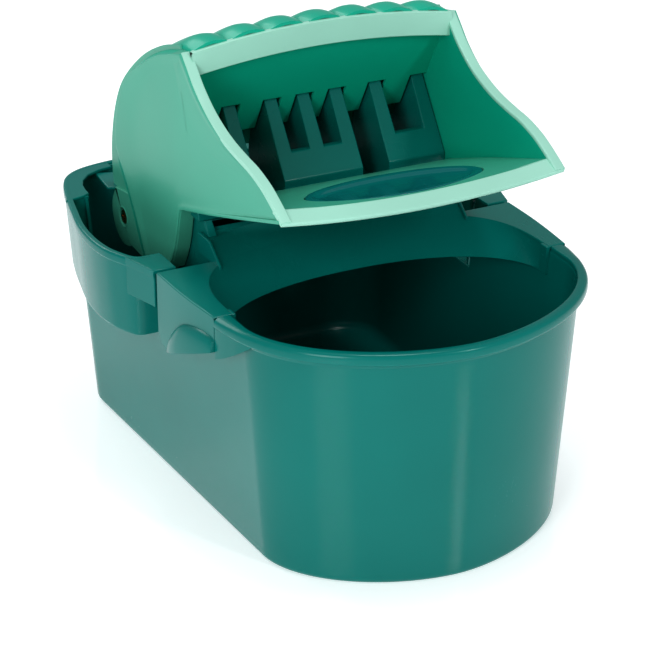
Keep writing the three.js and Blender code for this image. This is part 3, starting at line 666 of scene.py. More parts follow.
def rim_gusset(side):
    """A curved skirt under the rim that closes the saddle's end and runs out into the wall."""
    path = [(-x * side, y) for x, y in rim_path() if x < 0 and y > -50.0]

    def face(out):
        def at(u, v):
            i = min(len(path) - 1, round(u * (len(path) - 1)))
            x, y = path[i]
            stand = out + 5.2 * saddle_flare(y)
            low = 157.5 - y * 0.42 + 0.0045 * y * y
            return (x + side * stand, y, lerp(min(low, 182.5), 183.5, v))

        return at

    return shell(face(5.2), face(2.8), len(path) - 1, 6)


COLLAR_PATH = [
    (134, 117.6), (147, 117.6), (153.5, 119.2), (158.6, 124.2), (163.3, 134), (168.2, 149), (170.4, 172),
    (168.6, 200), (162.5, 230), (156.4, 256), (148, 284), (139.5, 300.5), (126, 311), (107, 316.6),
    (84, 319), (40, 319.9), (0, 320),
]  # fmt: skip


def collar_path():
    """The collar's outline from one flange round the back to the other."""
    half = spline(COLLAR_PATH, 110)
    return half + [(-x, y) for x, y in reversed(half[:-1])]


def collar_band():
    """The wide upright band of the collar with its rolled top."""
    path = collar_path()
    normals = outward(path, closed=False)
    section = [
        (-5.6, 125.0), (-4.9, 125.3), (-4.5, 126.2), (-4.4, 127.4), (-2.6, 156.0), (-0.9, 182.6),
        (-0.3, 183.3), (0.0, 184.2), (0.0, 187.8), (-0.3, 188.9), (-0.9, 189.6), (-1.8, 190.0),
        (-4.4, 190.0), (-5.2, 189.6), (-5.7, 188.8), (-5.8, 187.4), (-5.8, 186.0), (-5.2, 185.2),
        (-4.2, 184.8), (-5.6, 156.0), (-7.4, 127.0), (-7.4, 125.6),
    ]  # fmt: skip
    return sweep(path, normals, section)


def collar_ledge(edge):
    """The band's underside, from the wall out to the band."""
    path = collar_path()
    normals = outward(path, closed=False)
    outer = [(p[0] - n.x * 5.4, p[1] - n.y * 5.4) for p, n in zip(path, normals)][::2]
    columns = [c for c in wall_columns() if c[0] != "end"]
    inner = [wall_point(c, COLLAR_LOW, 1.2) for c in columns]
    inner = [p for p in inner if p[1] > COLLAR_START]
    return slab(outer + list(reversed(inner)), COLLAR_LOW, COLLAR_LOW + 2.4, flat, edge, 2)


def collar_flange(side):
    """The collar's upper flange, which runs forward to the saddle."""
    top = [(133.0, 93.6), (150.6, 93.6), (152.6, 101.0), (155.0, 110.0), (158.0, 122.0)]
    top += [(150.0, 121.0), (133.0, 119.5)]
    skins = [slab([(side * x, y) for x, y in top], 186.9, 190.0, flat, 0.9)]
    start, end = Vector((150.6, 93.6)), Vector((159.4, 126.0))
    along = (end - start).normalized()

    def place(u, v, w):
        p = start + along * u + Vector((along.y, -along.x)) * w
        return (side * p.x, p.y, v)

    length = (end - start).length
    skins.append(slab([(0, 160.5), (length, 160.5), (length, 189.6), (0, 189.6)], -2.4, 0.0, place, 0.8))
    skins.append(slab([(0, 184.0), (length, 184.0), (length, 189.9), (0, 189.9)], -1.2, 0.55, place, 0.5))
    return skins


def corner_shelf(side):
    """At each back corner the collar is bridged to the wall by a shelf with a web under its front edge."""
    shelf = [
        (158.0, 251.5), (150.0, 252.0), (142.0, 254.0), (136.2, 258.0), (135.6, 266.0), (134.0, 276.0),
        (130.0, 286.0), (122.0, 295.5), (110.0, 301.5), (98.0, 304.0), (98.0, 313.0), (112.0, 312.0),
        (126.0, 307.0), (137.0, 299.0), (145.0, 284.0), (152.0, 266.0),
    ]  # fmt: skip
    web = [(137.5, 254.8), (151.5, 252.9), (151.5, 255.3), (137.5, 257.2)]
    return [
        slab([(side * x, y) for x, y in shelf], 187.2, 189.9, flat, 0.9),
        slab([(side * x, y) for x, y in web], 126.5, 188.5, flat, 0.6),
    ]


class BUCKET_OT_shell(bpy.types.Operator):
    """Build the bucket: wall and floor, rolled rim, and the wide collar round the back"""

    bl_idname = "mop_bucket.build_shell"
    bl_label = "Bucket"

    def execute(self, context):
        sizes = context.scene.bucket_sizes
        plastic = finishes()["polypropylene, bucket"]
        edge = sizes.edge / MM
        wall = [bucket_wall(sizes.wall / MM, sizes.base_round / MM, sizes.floor / MM)]
        make_piece("bucket_wall", wall, plastic, "bucket", ["bucket"], 40)
        rim = [rolled_rim(), rim_gusset(1), rim_gusset(-1)]
        make_piece("bucket_rim", rim, plastic, "bucket", crease=40)
        collar = [collar_band(), collar_ledge(edge)]
        for side in (1, -1):
            collar += collar_flange(side) + corner_shelf(side)
        make_piece("bucket_collar", collar, plastic, "bucket", crease=40)
        return {"FINISHED"}


# ------------------------------------------------------------------ press frame
APRON_LOW = (129.6, 73.0, 2.2)  # half width, reach and roundness of the apron's lower edge
APRON_HIGH = (130.9, 101.0, 3.0)
APRON_START = 0.6


def apron_edge(shape, angle):
    """Point on one of the apron's two edges."""
    x, depth = superellipse(*shape, angle)
    return x, APRON_START + depth


def raised_front(x, rise):
    """How far back the apron's raised middle stands at a height over the apron's upper edge."""
    half, reach, power = APRON_HIGH
    depth = reach * (1 - (abs(x) / half) ** power) ** (1 / power)
    return APRON_START + depth + rise / 0.84


def splash_apron(plate):
    """The curved wall between the two saddles, over the open end."""
    def face(drop, back):
        def at(u, v):
            angle = math.pi * u
            x0, y0 = apron_edge(APRON_LOW, angle)
            x1, y1 = apron_edge(APRON_HIGH, angle)
            z = HEIGHT - 22.0 * (1 - v)
            return (lerp(x0, x1, v), lerp(y0, y1, v) + back, z - drop)

        return at

    return shell(face(0.0, 0.0), face(plate * 0.5, plate), 120, 10)


def raised_apron(plate):
    """The apron's middle goes on up, between two ribs, to the wall under the combs."""
    rise = 13.0

    def face(drop, back):
        def at(u, v):
            x = lerp(-104.0, 104.0, u)
            z = lerp(0.0, rise, v)
            return (x, min(raised_front(x, z), PRESS_FRONT + 1.0) + back, HEIGHT + z - drop)

        return at

    skins = [shell(face(0.0, 0.0), face(plate * 0.5, plate), 60, 6)]
    front = []
    for i in range(41):
        x = lerp(-103.6, 103.6, i / 40)
        front.append((x, min(raised_front(x, rise), PRESS_FRONT) + 0.6))
    rear = PRESS_FRONT + 1.6
    skins.append(slab(front + [(103.6, rear), (-103.6, rear)], 200.4, 202.9, flat, 0.3))
    rib = [(77.0, 188.0), (115.0, 188.0), (115.0, 204.0), (95.0, 204.0), (77.0, 190.4)]
    skins.append(slab(rib, 103.4, 105.6, across, 0.7))
    skins.append(slab(rib, -105.6, -103.4, across, 0.7))
    return skins


def skirt(share):
    """How far out the saddle's skirt stands at a share of its length."""
    return lerp(145.0, 150.0, share) + math.sin(math.pi * share) * 1.6


def saddle(side, plate):
    """A saddle over the side wall: top, outer skirt, two end tabs and the half dome."""
    inner = [apron_edge(APRON_HIGH, math.pi * (0.5 + 0.5 * i / 60)) for i in range(61)]
    inner = [(x - 0.4, y) for x, y in inner if y <= SADDLE_END - 1.0 and x > 100.0]
    notch = [(inner[0][0] - 4.0, SADDLE_END)]
    outer = [(skirt(i / 16), lerp(APRON_START, SADDLE_END, i / 16)) for i in range(17)]
    top = outer + notch + inner
    skins = [slab([(side * x, y) for x, y in top], HEIGHT - 3.0, HEIGHT, flat, 1.1)]

    def face(inset):
        def at(u, v):
            y = APRON_START + u * (SADDLE_END - APRON_START)
            low = lerp(163.0, 135.0, min(1.0, y / 70.0))
            low += 7.0 * smooth((y - 84.0) / 6.0)
            return (side * (skirt(u) - inset), y, lerp(low, HEIGHT - 1.2, v))

        return at

    skins.append(shell(face(0.0), face(plate), 48, 10))
    skins.append(bar(*sorted((side * 136.0, side * 144.6)), 0.8, 3.2, 165.0, 189.0, 0.7))
    skins.append(bar(*sorted((side * 128.2, side * 131.4)), 0.2, 9.0, 167.0, 189.9, 1.0))
    skins.append(saddle_dome(side))
    return skins


def saddle_dome(side):
    """Half dome on the skirt's lower edge, blunt at the back and drawn out to the front."""
    rows, columns = 10, 28
    points = []
    for i in range(rows + 1):
        lift = math.pi / 2 * i / rows * 0.995
        for j in range(columns + 1):
            around = math.pi * j / columns
            c, h = math.cos(around), math.sin(around)
            reach = 50.0 if c > 0 else 27.0
            y = max(0.9, 44.0 - reach * math.copysign(abs(c) ** 1.15, c) * math.cos(lift))
            rise = 22.0 * h**1.15 * math.cos(lift)
            out = skirt(y / SADDLE_END) - 0.8 + 8.6 * math.sin(lift)
            points.append((side * out, y, 163.2 - 0.4 * y + rise))
    faces = []
    for i in range(rows):
        for j in range(columns):
            a = i * (columns + 1) + j
            faces.append((a, a + 1, a + columns + 2, a + columns + 1))
    stride = columns + 1
    under = [i * stride for i in range(rows + 1)] + [i * stride + columns for i in range(rows, -1, -1)]
    faces.append(tuple(under))
    faces.append(tuple(range(columns, -1, -1)))
    faces.append(tuple(rows * stride + j for j in range(columns + 1)))
    return points, faces


def press_arms(plate):
    """The side arms, seat bar, front and back beams and back deck of the press frame."""
    skins = []
    outline = [(88.0, 165.0), (PRESS_FRONT, ARM_LOW), (PRESS_REAR, ARM_LOW), (PRESS_REAR, ARM_HIGH)]
    outline += [(204.0, ARM_HIGH), (SEAT_REAR, SEAT_HIGH), (PRESS_FRONT, SEAT_HIGH), (88.0, ARM_HIGH)]
    for side in (1, -1):
        skins.append(slab(outline, *sorted((side * 94.0, side * 101.0)), across, 1.0))
        skins.append(bar(*sorted((side * 87.0, side * 100.0)), 122.0, 295.0, ARM_LOW, ARM_LOW + plate))
        skins.append(bar(*sorted((side * 94.0, side * 134.0)), 87.4, 90.0, 166.0, 189.0))
        # windows in the seat bar leave three bridges and two rails
        bridge = sorted((side * 85.0, side * 100.0))
        skins.append(bar(*bridge, PRESS_FRONT, SEAT_REAR, SEAT_LOW, SEAT_HIGH))
    # half width, then front, rear, bottom and top
    middle_bars = [
        (45.5, PRESS_FRONT, SEAT_REAR, SEAT_LOW, SEAT_HIGH),
        (99.0, PRESS_FRONT, 156.0, SEAT_LOW, SEAT_HIGH),
        (99.0, 176.0, SEAT_REAR, SEAT_LOW, SEAT_HIGH),
        (100.0, PRESS_FRONT, 116.6, ARM_LOW, SEAT_HIGH),
        (100.0, 102.5, 115.0, 184.4, ARM_HIGH),
        (100.0, 289.0, PRESS_REAR, ARM_LOW, ARM_HIGH),
        (40.0, 289.0, 317.5, 186.8, HEIGHT),
    ]
    for half, *extent in middle_bars:
        skins.append(bar(-half, half, *extent))
    # back deck over the beam, with its two corners
    deck = [(-113.0, 303.0), (-116.0, 269.0), (-101.0, 262.0), (101.0, 262.0), (116.0, 269.0)]
    deck += [(113.0, 303.0), (98.0, 297.0), (-98.0, 297.0)]
    skins.append(slab(deck, 184.6, 187.2, flat))
    return skins


def comb(fingers, taper):
    """A comb as slices across: the full finger profile at each finger, cut off at the web between them."""
    web_top, tip = 249.0, 293.0
    face = [(126.0, web_top), (PRESS_FRONT, 231.4)]
    full = [(PRESS_FRONT, COMB_SEAT), (178.0, COMB_SEAT), (178.0, 240.0), (164.9, tip), (155.9, tip)] + face
    web = [(PRESS_FRONT, COMB_SEAT), (132.0, COMB_SEAT), (132.0, 240.0), (132.0, web_top), (131.0, web_top)]
    web += face

    def cut(x, centre, profile):
        points = []
        for y, z in profile:
            share = 1 - taper * smooth((z - web_top) / (tip - web_top))
            points.append((centre + (x - centre) * share, y, z))
        return points

    loops = []
    for i, centre in enumerate(fingers):
        left, right = centre - FINGER / 2, centre + FINGER / 2
        if i:
            loops.append(cut(left, centre, web))
        loops += [cut(left, centre, full), cut(right, centre, full)]
        if i < len(fingers) - 1:
            loops.append(cut(right, centre, web))
    return stack(loops)


class BUCKET_OT_press(bpy.types.Operator):
    """Build the press frame: splash apron, saddles with their domes, arms, beams and seat bar"""

    bl_idname = "mop_bucket.build_press"
    bl_label = "Press frame"

    def execute(self, context):
        plate = context.scene.press_sizes.plate / MM
        plastic = finishes()["polypropylene, press"]
        skins = [splash_apron(plate)] + raised_apron(plate)
        make_piece("press_apron", skins, plastic, "press", ["press_frame"], 40)
        skins = saddle(1, plate) + saddle(-1, plate)
        make_piece("press_saddles", skins, plastic, "press", crease=40)
        make_piece("press_arms", press_arms(plate), plastic, "press", crease=40)
        return {"FINISHED"}


class BUCKET_OT_combs(bpy.types.Operator):
    """Build the three combs"""

    bl_idname = "mop_bucket.build_combs"
    bl_label = "Combs"

    def execute(self, context):
        taper = context.scene.press_sizes.taper
        plastic = finishes()["polypropylene, press"]
        for place, fingers in FINGERS.items():
            node = "comb_" + place
            skins = [comb(fingers, taper)]
            make_piece(node + "_moulding", skins, plastic, "press", [node], bevel=0.8)
        return {"FINISHED"}


# ------------------------------------------------------------------ hopper
def shelf_top(x, y):
    """The shelf hangs lower and runs flatter down its middle, and is straight along the cheeks."""
    side = LIP_TOP - SHELF_SLOPE * (y - LIP_SIDE)
    start = LIP_TOP - LIP_SAG
    if y < SHELF_BEND:
        middle = start - SHELF_MIDDLE_SLOPE * (y - LIP_SIDE)
    else:
        bend = start - SHELF_MIDDLE_SLOPE * (SHELF_BEND - LIP_SIDE)
        end = LIP_TOP - SHELF_SLOPE * (SHELF_BACK - LIP_SIDE)
        middle = lerp(bend, end, (y - SHELF_BEND) / (SHELF_BACK - SHELF_BEND))
    return lerp(middle, side, (x / CHEEK) ** 2)


def lip_front(x):
    """The front edge of the shelf bows forward a little."""
    return LIP_SIDE - 1.5 * (1 - (x / CHEEK) ** 2)


def inlay_plane(y):
    """Height of the flat plane that the oval inlay lies in."""
    return shelf_top(0.0, INLAY_Y) - SHELF_MIDDLE_SLOPE * (y - INLAY_Y)


S_EDGE = [
    (118.5, 343.5), (108.0, 333.5), (98.0, 324.0), (82.0, 313.0), (65.0, 305.0), (46.0, 299.0),
    (25.0, 295.0), (7.0, 292.2), (-11.0, 287.0), (-23.0, 281.6), (-33.0, 276.3), (-42.5, 270.8),
]  # fmt: skip
BOTTOM_EDGE = [(-40.0, 269.0), (0.0, 256.4), (40.0, 243.9), (80.0, 231.9), (120.0, 220.5)]
LEG_EDGE = [(126.0, 218.0), (129.0, 211.0), (134.7, 190.8), (141.0, 176.0), (149.0, 163.0)]
REAR_EDGE = [
    (274.0, 179.0), (276.5, 200.0), (275.0, 225.0), (265.0, 256.0), (246.0, 284.0), (207.0, 314.0),
    (167.0, 334.0), (132.0, 344.8),
]  # fmt: skip


def front_chain():
    """Front outline of a cheek: down the S-shaped edge, along the panel's foot and down the leg."""
    return spline(S_EDGE, 60) + spline(BOTTOM_EDGE, 40) + spline(LEG_EDGE, 24)


def cheek_panel(bulge):
    """The raised panel of a cheek: a slope down to the flange at the back, and a soft step inside it."""
    front = front_chain()
    centre = (110.0, 278.0)
    foot = [(165.0, 147.0)]
    base = [(222.0, 143.5), (233.3, 157.6), (252.4, 188.7), (271.0, 219.0), (262.5, 253.0), (243.5, 281.5)]
    base += [(205.0, 311.2), (166.0, 331.0), (132.0, 341.8)]
    crest = [(190.0, 150.0), (207.9, 180.2), (225.6, 204.7), (246.3, 232.1), (241.0, 262.0), (223.4, 290.9)]
    crest += [(192.0, 312.0), (160.0, 329.0), (132.0, 338.8)]
    soft = [(183.0, 158.0), (196.0, 180.0), (204.0, 205.9), (211.0, 236.0), (211.2, 260.1), (201.0, 286.0)]
    soft += [(178.0, 309.0), (152.9, 322.7), (131.0, 331.0)]
    base_points = foot + spline(base, REAR_STEPS)
    crest_points = foot + spline(crest, REAR_STEPS)
    soft_points = [(167.0, 152.0)] + spline(soft, REAR_STEPS)
    normals = outward(front + base_points)
    room = [min(1.0, max(0.12, (y + 45.0) / 90.0)) for y, _ in front]

    def swell(y):
        return bulge * smooth((y - 10.0) / 190.0)

    def front_at(inset):
        return [(p[0] - n.x * inset * r, p[1] - n.y * inset * r) for p, n, r in zip(front, normals, room)]

    def rear_at(a, b, t):
        return [(lerp(p[0], q[0], t), lerp(p[1], q[1], t)) for p, q in zip(a, b)]

    def loop(front_points, front_x, rear_points, rear_x):
        points = [(front_x + swell(y) * (front_x > 109), y, z) for y, z in front_points]
        points += [(rear_x + swell(y) * (rear_x > 109.9), y, z) for y, z in rear_points]
        return points

    flange = 107.2
    loops = [
        loop(front_at(0.6), CHEEK_INNER, base_points, CHEEK_INNER),
        loop(front_at(0.6), 109.0, base_points, flange),
        loop(front_at(0.6), 111.2, rear_at(base_points, crest_points, 0.12), flange + 0.5),
        loop(front_at(0.7), 112.2, rear_at(base_points, crest_points, 0.9), 112.3),
        loop(front_at(0.9), 112.6, rear_at(base_points, crest_points, 0.97), 112.8),
        loop(front_at(1.4), 112.8, crest_points, CHEEK),
        loop(front_at(3.6), 112.8, rear_at(crest_points, soft_points, 0.06), CHEEK),
        loop(front_at(4.6), 112.5, rear_at(crest_points, soft_points, 0.35), 112.6),
        loop(front_at(6.2), 112.2, rear_at(crest_points, soft_points, 0.78), 112.0),
        loop(front_at(9.5), 112.1, soft_points, 111.5),
        loop(front_at(14.0), 112.0, rear_at(soft_points, [centre] * (REAR_STEPS + 1), 0.12), 111.3),
    ]
    last = [(y, z) for _, y, z in loops[-1]]
    for share in (0.3, 0.55, 0.8, 0.97):
        shrunk = [(lerp(y, centre[0], share), lerp(z, centre[1], share)) for y, z in last]
        loops.append([(111.6 + swell(y), y, z) for y, z in shrunk])
    return stack(loops)


def circle(radius, start, end, steps):
    """Points on an arc round the pivot, in degrees."""
    angles = [math.radians(lerp(start, end, k / steps)) for k in range(steps + 1)]
    return [(PIVOT_Y + radius * math.cos(a), PIVOT_Z + radius * math.sin(a)) for a in angles]


def cheek_flange():
    """Behind the panel: the thin flange round the back, and the ear with the pivot screw's recess."""
    flange = [(120.0, 330.0), (100.0, 300.0), (150.0, 240.0), (222.0, 196.0), (252.0, 178.0)]
    ear = [(205.0, 196.0), (190.0, 170.0), (205.0, 148.0)] + circle(24.0, -125, 60, 40)
    return [
        slab(flange + spline(REAR_EDGE, 70), CHEEK_INNER + 0.3, 108.2, across, 0.8),
        slab_with_hole(ear, (PIVOT_Y, PIVOT_Z), 7.4, CHEEK_INNER + 0.4, 110.5),
    ]


def slab_with_hole(outline, middle, radius, low, high):
    """A plate across X with one round hole: rings run from the outline in to the hole and back."""
    centre = Vector(middle)
    outer = spline(outline + [outline[0]], 241)[:-1]
    normals = outward(outer)
    spokes = [(Vector(p) - centre).normalized() for p in outer]

    def loop(inset, w):
        return [(w, p[0] - n.x * inset, p[1] - n.y * inset) for p, n in zip(outer, normals)]

    def hole_loop(grow, w):
        return [(w, centre.x + d.x * (radius + grow), centre.y + d.y * (radius + grow)) for d in spokes]

    loops = [loop(1.0, low), loop(0.3, low + 0.3), loop(0.0, low + 1.0)]
    loops += [loop(0.0, high - 1.0), loop(0.3, high - 0.3), loop(1.0, high)]
    loops += [hole_loop(1.6, high), hole_loop(1.1, high + 0.35), hole_loop(0.4, high + 0.3)]
    loops += [hole_loop(0.0, high - 0.2), hole_loop(0.0, low + 0.4), hole_loop(0.0, low)]
    return stack(loops, ring=True)


def edge_bead(path, inner_x, outer_x, low, high, radius=1.1):
    """A rounded bead along an outline in Y and Z, whose sides stand at low and high across the outline."""
    normals = outward(path, closed=False)
    r = min(radius, (high - low) / 2.1)
    corners = [(inner_x, low, 1, 1), (outer_x, low, -1, 1), (outer_x, high, -1, -1), (inner_x, high, 1, -1)]
    section = []
    for k, (x, o, sx, so) in enumerate(corners):
        arc = [(0.0, 1.0), (0.29, 0.29), (1.0, 0.0)]
        for a, b in arc if k % 2 == 0 else reversed(arc):
            section.append((x + sx * r * a, o + so * r * b))
    loops = []
    for p, n in zip(path, normals):
        loops.append([(x, p[0] + n.x * o, p[1] + n.y * o) for x, o in section])
    return stack(loops)


def cheek(side, bulge):
    skins = [cheek_panel(bulge)] + cheek_flange()
    # a narrow bead along the foot of the panel, and the hollow leg
    skins.append(edge_bead(list(reversed(spline(BOTTOM_EDGE, 40))), 106.0, 113.8, -0.1, 3.0))
    skins.append(edge_bead(list(reversed(spline(LEG_EDGE, 30))), 101.8, 113.7, -0.1, 2.8))
    if side < 0:
        skins = [mirrored(skin) for skin in skins]
    return skins


def painted_shade_band_faces():
    """Indices of the panel's faces that make the sloping band at the back of a cheek; the hopper's builder
    gives them the darker mint as painted shade.
    """
    front = len(front_chain())
    count = front + REAR_STEPS + 1
    return [row * count + i for row in range(1, 4) for i in range(front + 1, count - 1)]


def front_edge(side):
    """The broad pale edge down the front of a cheek."""
    skin = edge_bead(list(reversed(spline(S_EDGE, 70))), 104.9, 113.2, -0.2, 3.2, 1.0)
    return mirrored(skin) if side < 0 else skin


def lining(side):
    """The inner face of a cheek."""
    front = spline(S_EDGE, 50)[2:-2] + spline(BOTTOM_EDGE, 30)[2:]
    normals = outward(front + [(180.0, 200.0)])
    outline = [(p[0] - n.x * 2.6, p[1] - n.y * 2.6) for p, n in zip(front, normals)]
    rear = [(150.0, 190.0), (215.0, 200.0), (240.0, 240.0), (222.0, 275.0), (180.0, 305.0), (135.0, 330.0)]
    outline += spline(rear, 30)
    skin = slab(outline, 105.5, 106.4, across, 0.3, 2)
    return mirrored(skin) if side < 0 else skin


def shelf():
    """The shelf with an oval opening, built as rings from the oval out to its border and back underneath."""
    count = 160
    half_x, half_y = (half + 0.4 for half in INLAY_HALF)
    border_x, border_y = 106.8, 103.0

    def ring(t, drop):
        points = []
        for i in range(count):
            angle = 2 * math.pi * i / count
            oval = (half_x * math.cos(angle), INLAY_Y + half_y * math.sin(angle))
            if abs(math.cos(angle)) * border_y > abs(math.sin(angle)) * 106.6:
                reach = border_x / abs(math.cos(angle))
            else:
                reach = border_y / abs(math.sin(angle))
            out_x = reach * math.cos(angle)
            out_y = max(INLAY_Y + reach * math.sin(angle), lip_front(out_x) + 0.8)
            x, y = lerp(oval[0], out_x, t), lerp(oval[1], out_y, t)
            points.append((x, y, shelf_top(x, y) - drop))
        return points

    loops = [ring(0.0, 1.2), ring(0.003, 0.35)]
    loops += [ring(t, 0.0) for t in (0.012, 0.1, 0.25, 0.5, 0.75, 0.9, 1.0)]
    loops += [ring(t, 3.0) for t in (1.0, 0.5, 0.0)]
    return stack(loops, ring=True)


def lip():
    """The front lip: a sloping face that turns over from the shelf, rounded at its outer edge."""
    tip = [(0.9, 0.35), (0.25, -0.15), (0.0, -0.9), (0.1, -2.3), (0.9, -3.1), (2.0, -3.2)]
    section = [(2.5, -2.5 * SHELF_MIDDLE_SLOPE), (0.9, -0.1), (0.1, -0.05), (-0.6, -0.25)]
    section += [(y - LIP_REACH, z - LIP_DROP) for y, z in tip]
    section += [(0.0, -3.4), (2.5, -3.2)]
    loops = []
    for i in range(81):
        x = lerp(-112.4, 112.4, i / 80)
        start, rise = lip_front(x), shelf_top(x, LIP_SIDE)
        loops.append([(x, start + y, rise + z) for y, z in section])
    return stack(loops)


def arch(x):
    """How much the hopper's rim and back rise towards the middle."""
    return 10.0 * (1 - (x / CHEEK) ** 2)


def hopper_rim():
    """The arched band over the hopper's mouth, with a bead along each of its long edges."""
    front, rear = 112.0, 117.0

    def face(y):
        def at(u, v):
            x = lerp(-RIM_SPAN, RIM_SPAN, u)
            return (x, y, RIM_LOW + arch(x) + RIM_DEPTH * v)

        return at

    skins = [shell(face(front), face(rear), 80, 2)]
    angles = [2 * math.pi * k / 12 for k in range(12)]
    middle, half = (front + rear) / 2, (rear - front) / 2
    for height in (RIM_LOW, RIM_LOW + RIM_DEPTH):
        loops = []
        for i in range(81):
            x = lerp(-RIM_SPAN, RIM_SPAN, i / 80)
            z = height + arch(x)
            loops.append([(x, middle + half * math.cos(a), z + math.sin(a)) for a in angles])
        skins.append(stack(loops))
    return skins


def notched_panel():
    """The sloping panel under the rim, cut into teeth that stand between the fingers."""
    top, notch, tip = 336.5, 286.0, 259.0
    side, lean, gap = 106.8, 0.574, 7.6
    fingers = sorted(x for group in FINGERS.values() for x in group)
    outline = [(-side, top), (-side, notch), (fingers[0] + gap, notch), (fingers[0] + gap, tip)]
    for x in fingers[1:-1]:
        outline += [(x - gap, tip), (x - gap, notch), (x + gap, notch), (x + gap, tip)]
    outline += [(fingers[-1] - gap, tip), (fingers[-1] - gap, notch), (side, notch), (side, top)]

    def place(u, v, w):
        return (u, 116.0 + lean * (339.0 - v) + w, v + arch(u) * smooth((v - 300.0) / 36.0))

    return slab(dense(outline, 9.0), 0.0, 3.0, place, 0.8, 3)


def dense(outline, step):
    """The same outline with long sides divided."""
    points = []
    for a, b in zip(outline, outline[1:] + outline[:1]):
        length = math.dist(a, b)
        parts = max(1, round(length / step))
        points += [(lerp(a[0], b[0], k / parts), lerp(a[1], b[1], k / parts)) for k in range(parts)]
    return points


BACK_SPINE = [
    (114.0, 342.0), (126.0, 342.5), (138.0, 340.6), (167.0, 328.0), (205.0, 308.0), (240.0, 280.0),
    (258.0, 252.0), (267.0, 224.0), (268.0, 203.0),
]  # fmt: skip


def humped_back(humps, rise):
    """The back: channels side by side that run down a curved spine."""
    steps = 48
    spine = spline(BACK_SPINE, steps + 1)
    normals = outward(spine, closed=False)

    def face(drop):
        def at(u, v):
            k = round(v * steps)
            (y, z), n = spine[k], normals[k]
            hump = rise * abs(math.sin(math.pi * humps * u)) ** 0.7 - drop
            x = lerp(-RIM_SPAN, RIM_SPAN, u)
            lift = arch(x) * max(0.0, 1 - 1.6 * v)
            return (x, y - n.x * hump, z - n.y * hump + lift)

        return at

    return shell(face(0.0), face(2.6), humps * 16, steps)


class BUCKET_OT_hopper(bpy.types.Operator):
    """Build the hopper: cheeks, shelf with its lip, notched panel, rim and humped back"""

    bl_idname = "mop_bucket.build_hopper"
    bl_label = "Hopper"

    def execute(self, context):
        sizes = context.scene.hopper_sizes
        looks = finishes()
        plastic = looks["polypropylene, hopper"]
        # pale is the hopper's mint painted lighter as highlight, deep the mint painted darker as shade
        pale = looks["polypropylene, hopper edges"]
        deep = looks["polypropylene, hopper inside"]
        # the sloping band at the back of each cheek takes the deep mint: painted shade where it faces away
        # from the light
        band = (deep, painted_shade_band_faces())
        for side, name, replaced in ((-1, "left", ["hopper"]), (1, "right", [])):
            skins = cheek(side, sizes.bulge / MM)
            make_piece("hopper_cheek_" + name, skins, plastic, "hopper", replaced, 32, second=band)
        make_piece("hopper_shelf", [shelf()], plastic, "hopper", crease=32)
        # the lip, front edges and rim take the pale mint: painted highlight
        skins = [lip(), front_edge(1), front_edge(-1)] + hopper_rim()
        make_piece("hopper_edges", skins, pale, "hopper", crease=50)
        # the linings, notched panel and humped back take the deep mint: painted shade
        make_piece("hopper_lining", [lining(1), lining(-1)], deep, "hopper")
        skins = [notched_panel(), humped_back(sizes.humps, sizes.hump_rise / MM)]
        make_piece("hopper_back", skins, deep, "hopper", crease=50)
        return {"FINISHED"}


class BUCKET_OT_inlay(bpy.types.Operator):
    """Build the polished oval dish that lies in the shelf"""

    bl_idname = "mop_bucket.build_inlay"
    bl_label = "Oval inlay"

    def execute(self, context):
        angles = [2 * math.pi * i / 120 for i in range(120)]

        def ring(inset, rise, share=1.0):
            half_x, half_y = ((half - inset) * share for half in INLAY_HALF)
            points = [(half_x * math.cos(a), INLAY_Y + half_y * math.sin(a)) for a in angles]
            return [(x, y, inlay_plane(y) + rise) for x, y in points]

        loops = [ring(20.0, -3.4), ring(2.0, -3.4), ring(0.1, -2.4), ring(0.0, -0.4), ring(0.2, 0.25)]
        loops += [ring(0.8, 0.6), ring(2.0, 0.7), ring(5.2, 0.45), ring(7.4, 0.0), ring(8.6, -0.9)]
        bowl = [(0.96, -1.6), (0.9, -2.0), (0.7, -2.5), (0.4, -2.8), (0.1, -2.9)]
        loops += [ring(9.0, rise, share) for share, rise in bowl]
        plastic = finishes()["polished acrylic, inlay"]
        make_piece("inlay_dish", [stack(loops)], plastic, "hopper", ["oval_inlay"], 50)
        return {"FINISHED"}


# ------------------------------------------------------------------ fittings made with geometry nodes
def new_tree(name, inputs):
    """An empty geometry node tree with named inputs for its sizes."""
    tree = bpy.data.node_groups.new(name, "GeometryNodeTree")
    tree.interface.new_socket("Geometry", in_out="INPUT", socket_type="NodeSocketGeometry")
    for label, kind, value in inputs:
        socket = tree.interface.new_socket(label, in_out="INPUT", socket_type=kind)
        socket.default_value = value
    tree.interface.new_socket("Geometry", in_out="OUTPUT", socket_type="NodeSocketGeometry")
    return tree, add_node(tree, "NodeGroupInput")


def end_tree(tree, given, shape, material):
    """Puts the shape at every given point, as real geometry with the material."""
    sources = {"Points": (given, "Geometry"), "Instance": (shape, "Geometry")}
    placed = add_node(tree, "GeometryNodeInstanceOnPoints", links=sources)
    real = add_node(tree, "GeometryNodeRealizeInstances", links={"Geometry": (placed, "Instances")})
    bare = {"Geometry": (real, "Geometry")}
    painted = add_node(tree, "GeometryNodeSetMaterial", {"Material": material}, bare)
    add_node(tree, "NodeGroupOutput", links={0: (painted, "Geometry")})


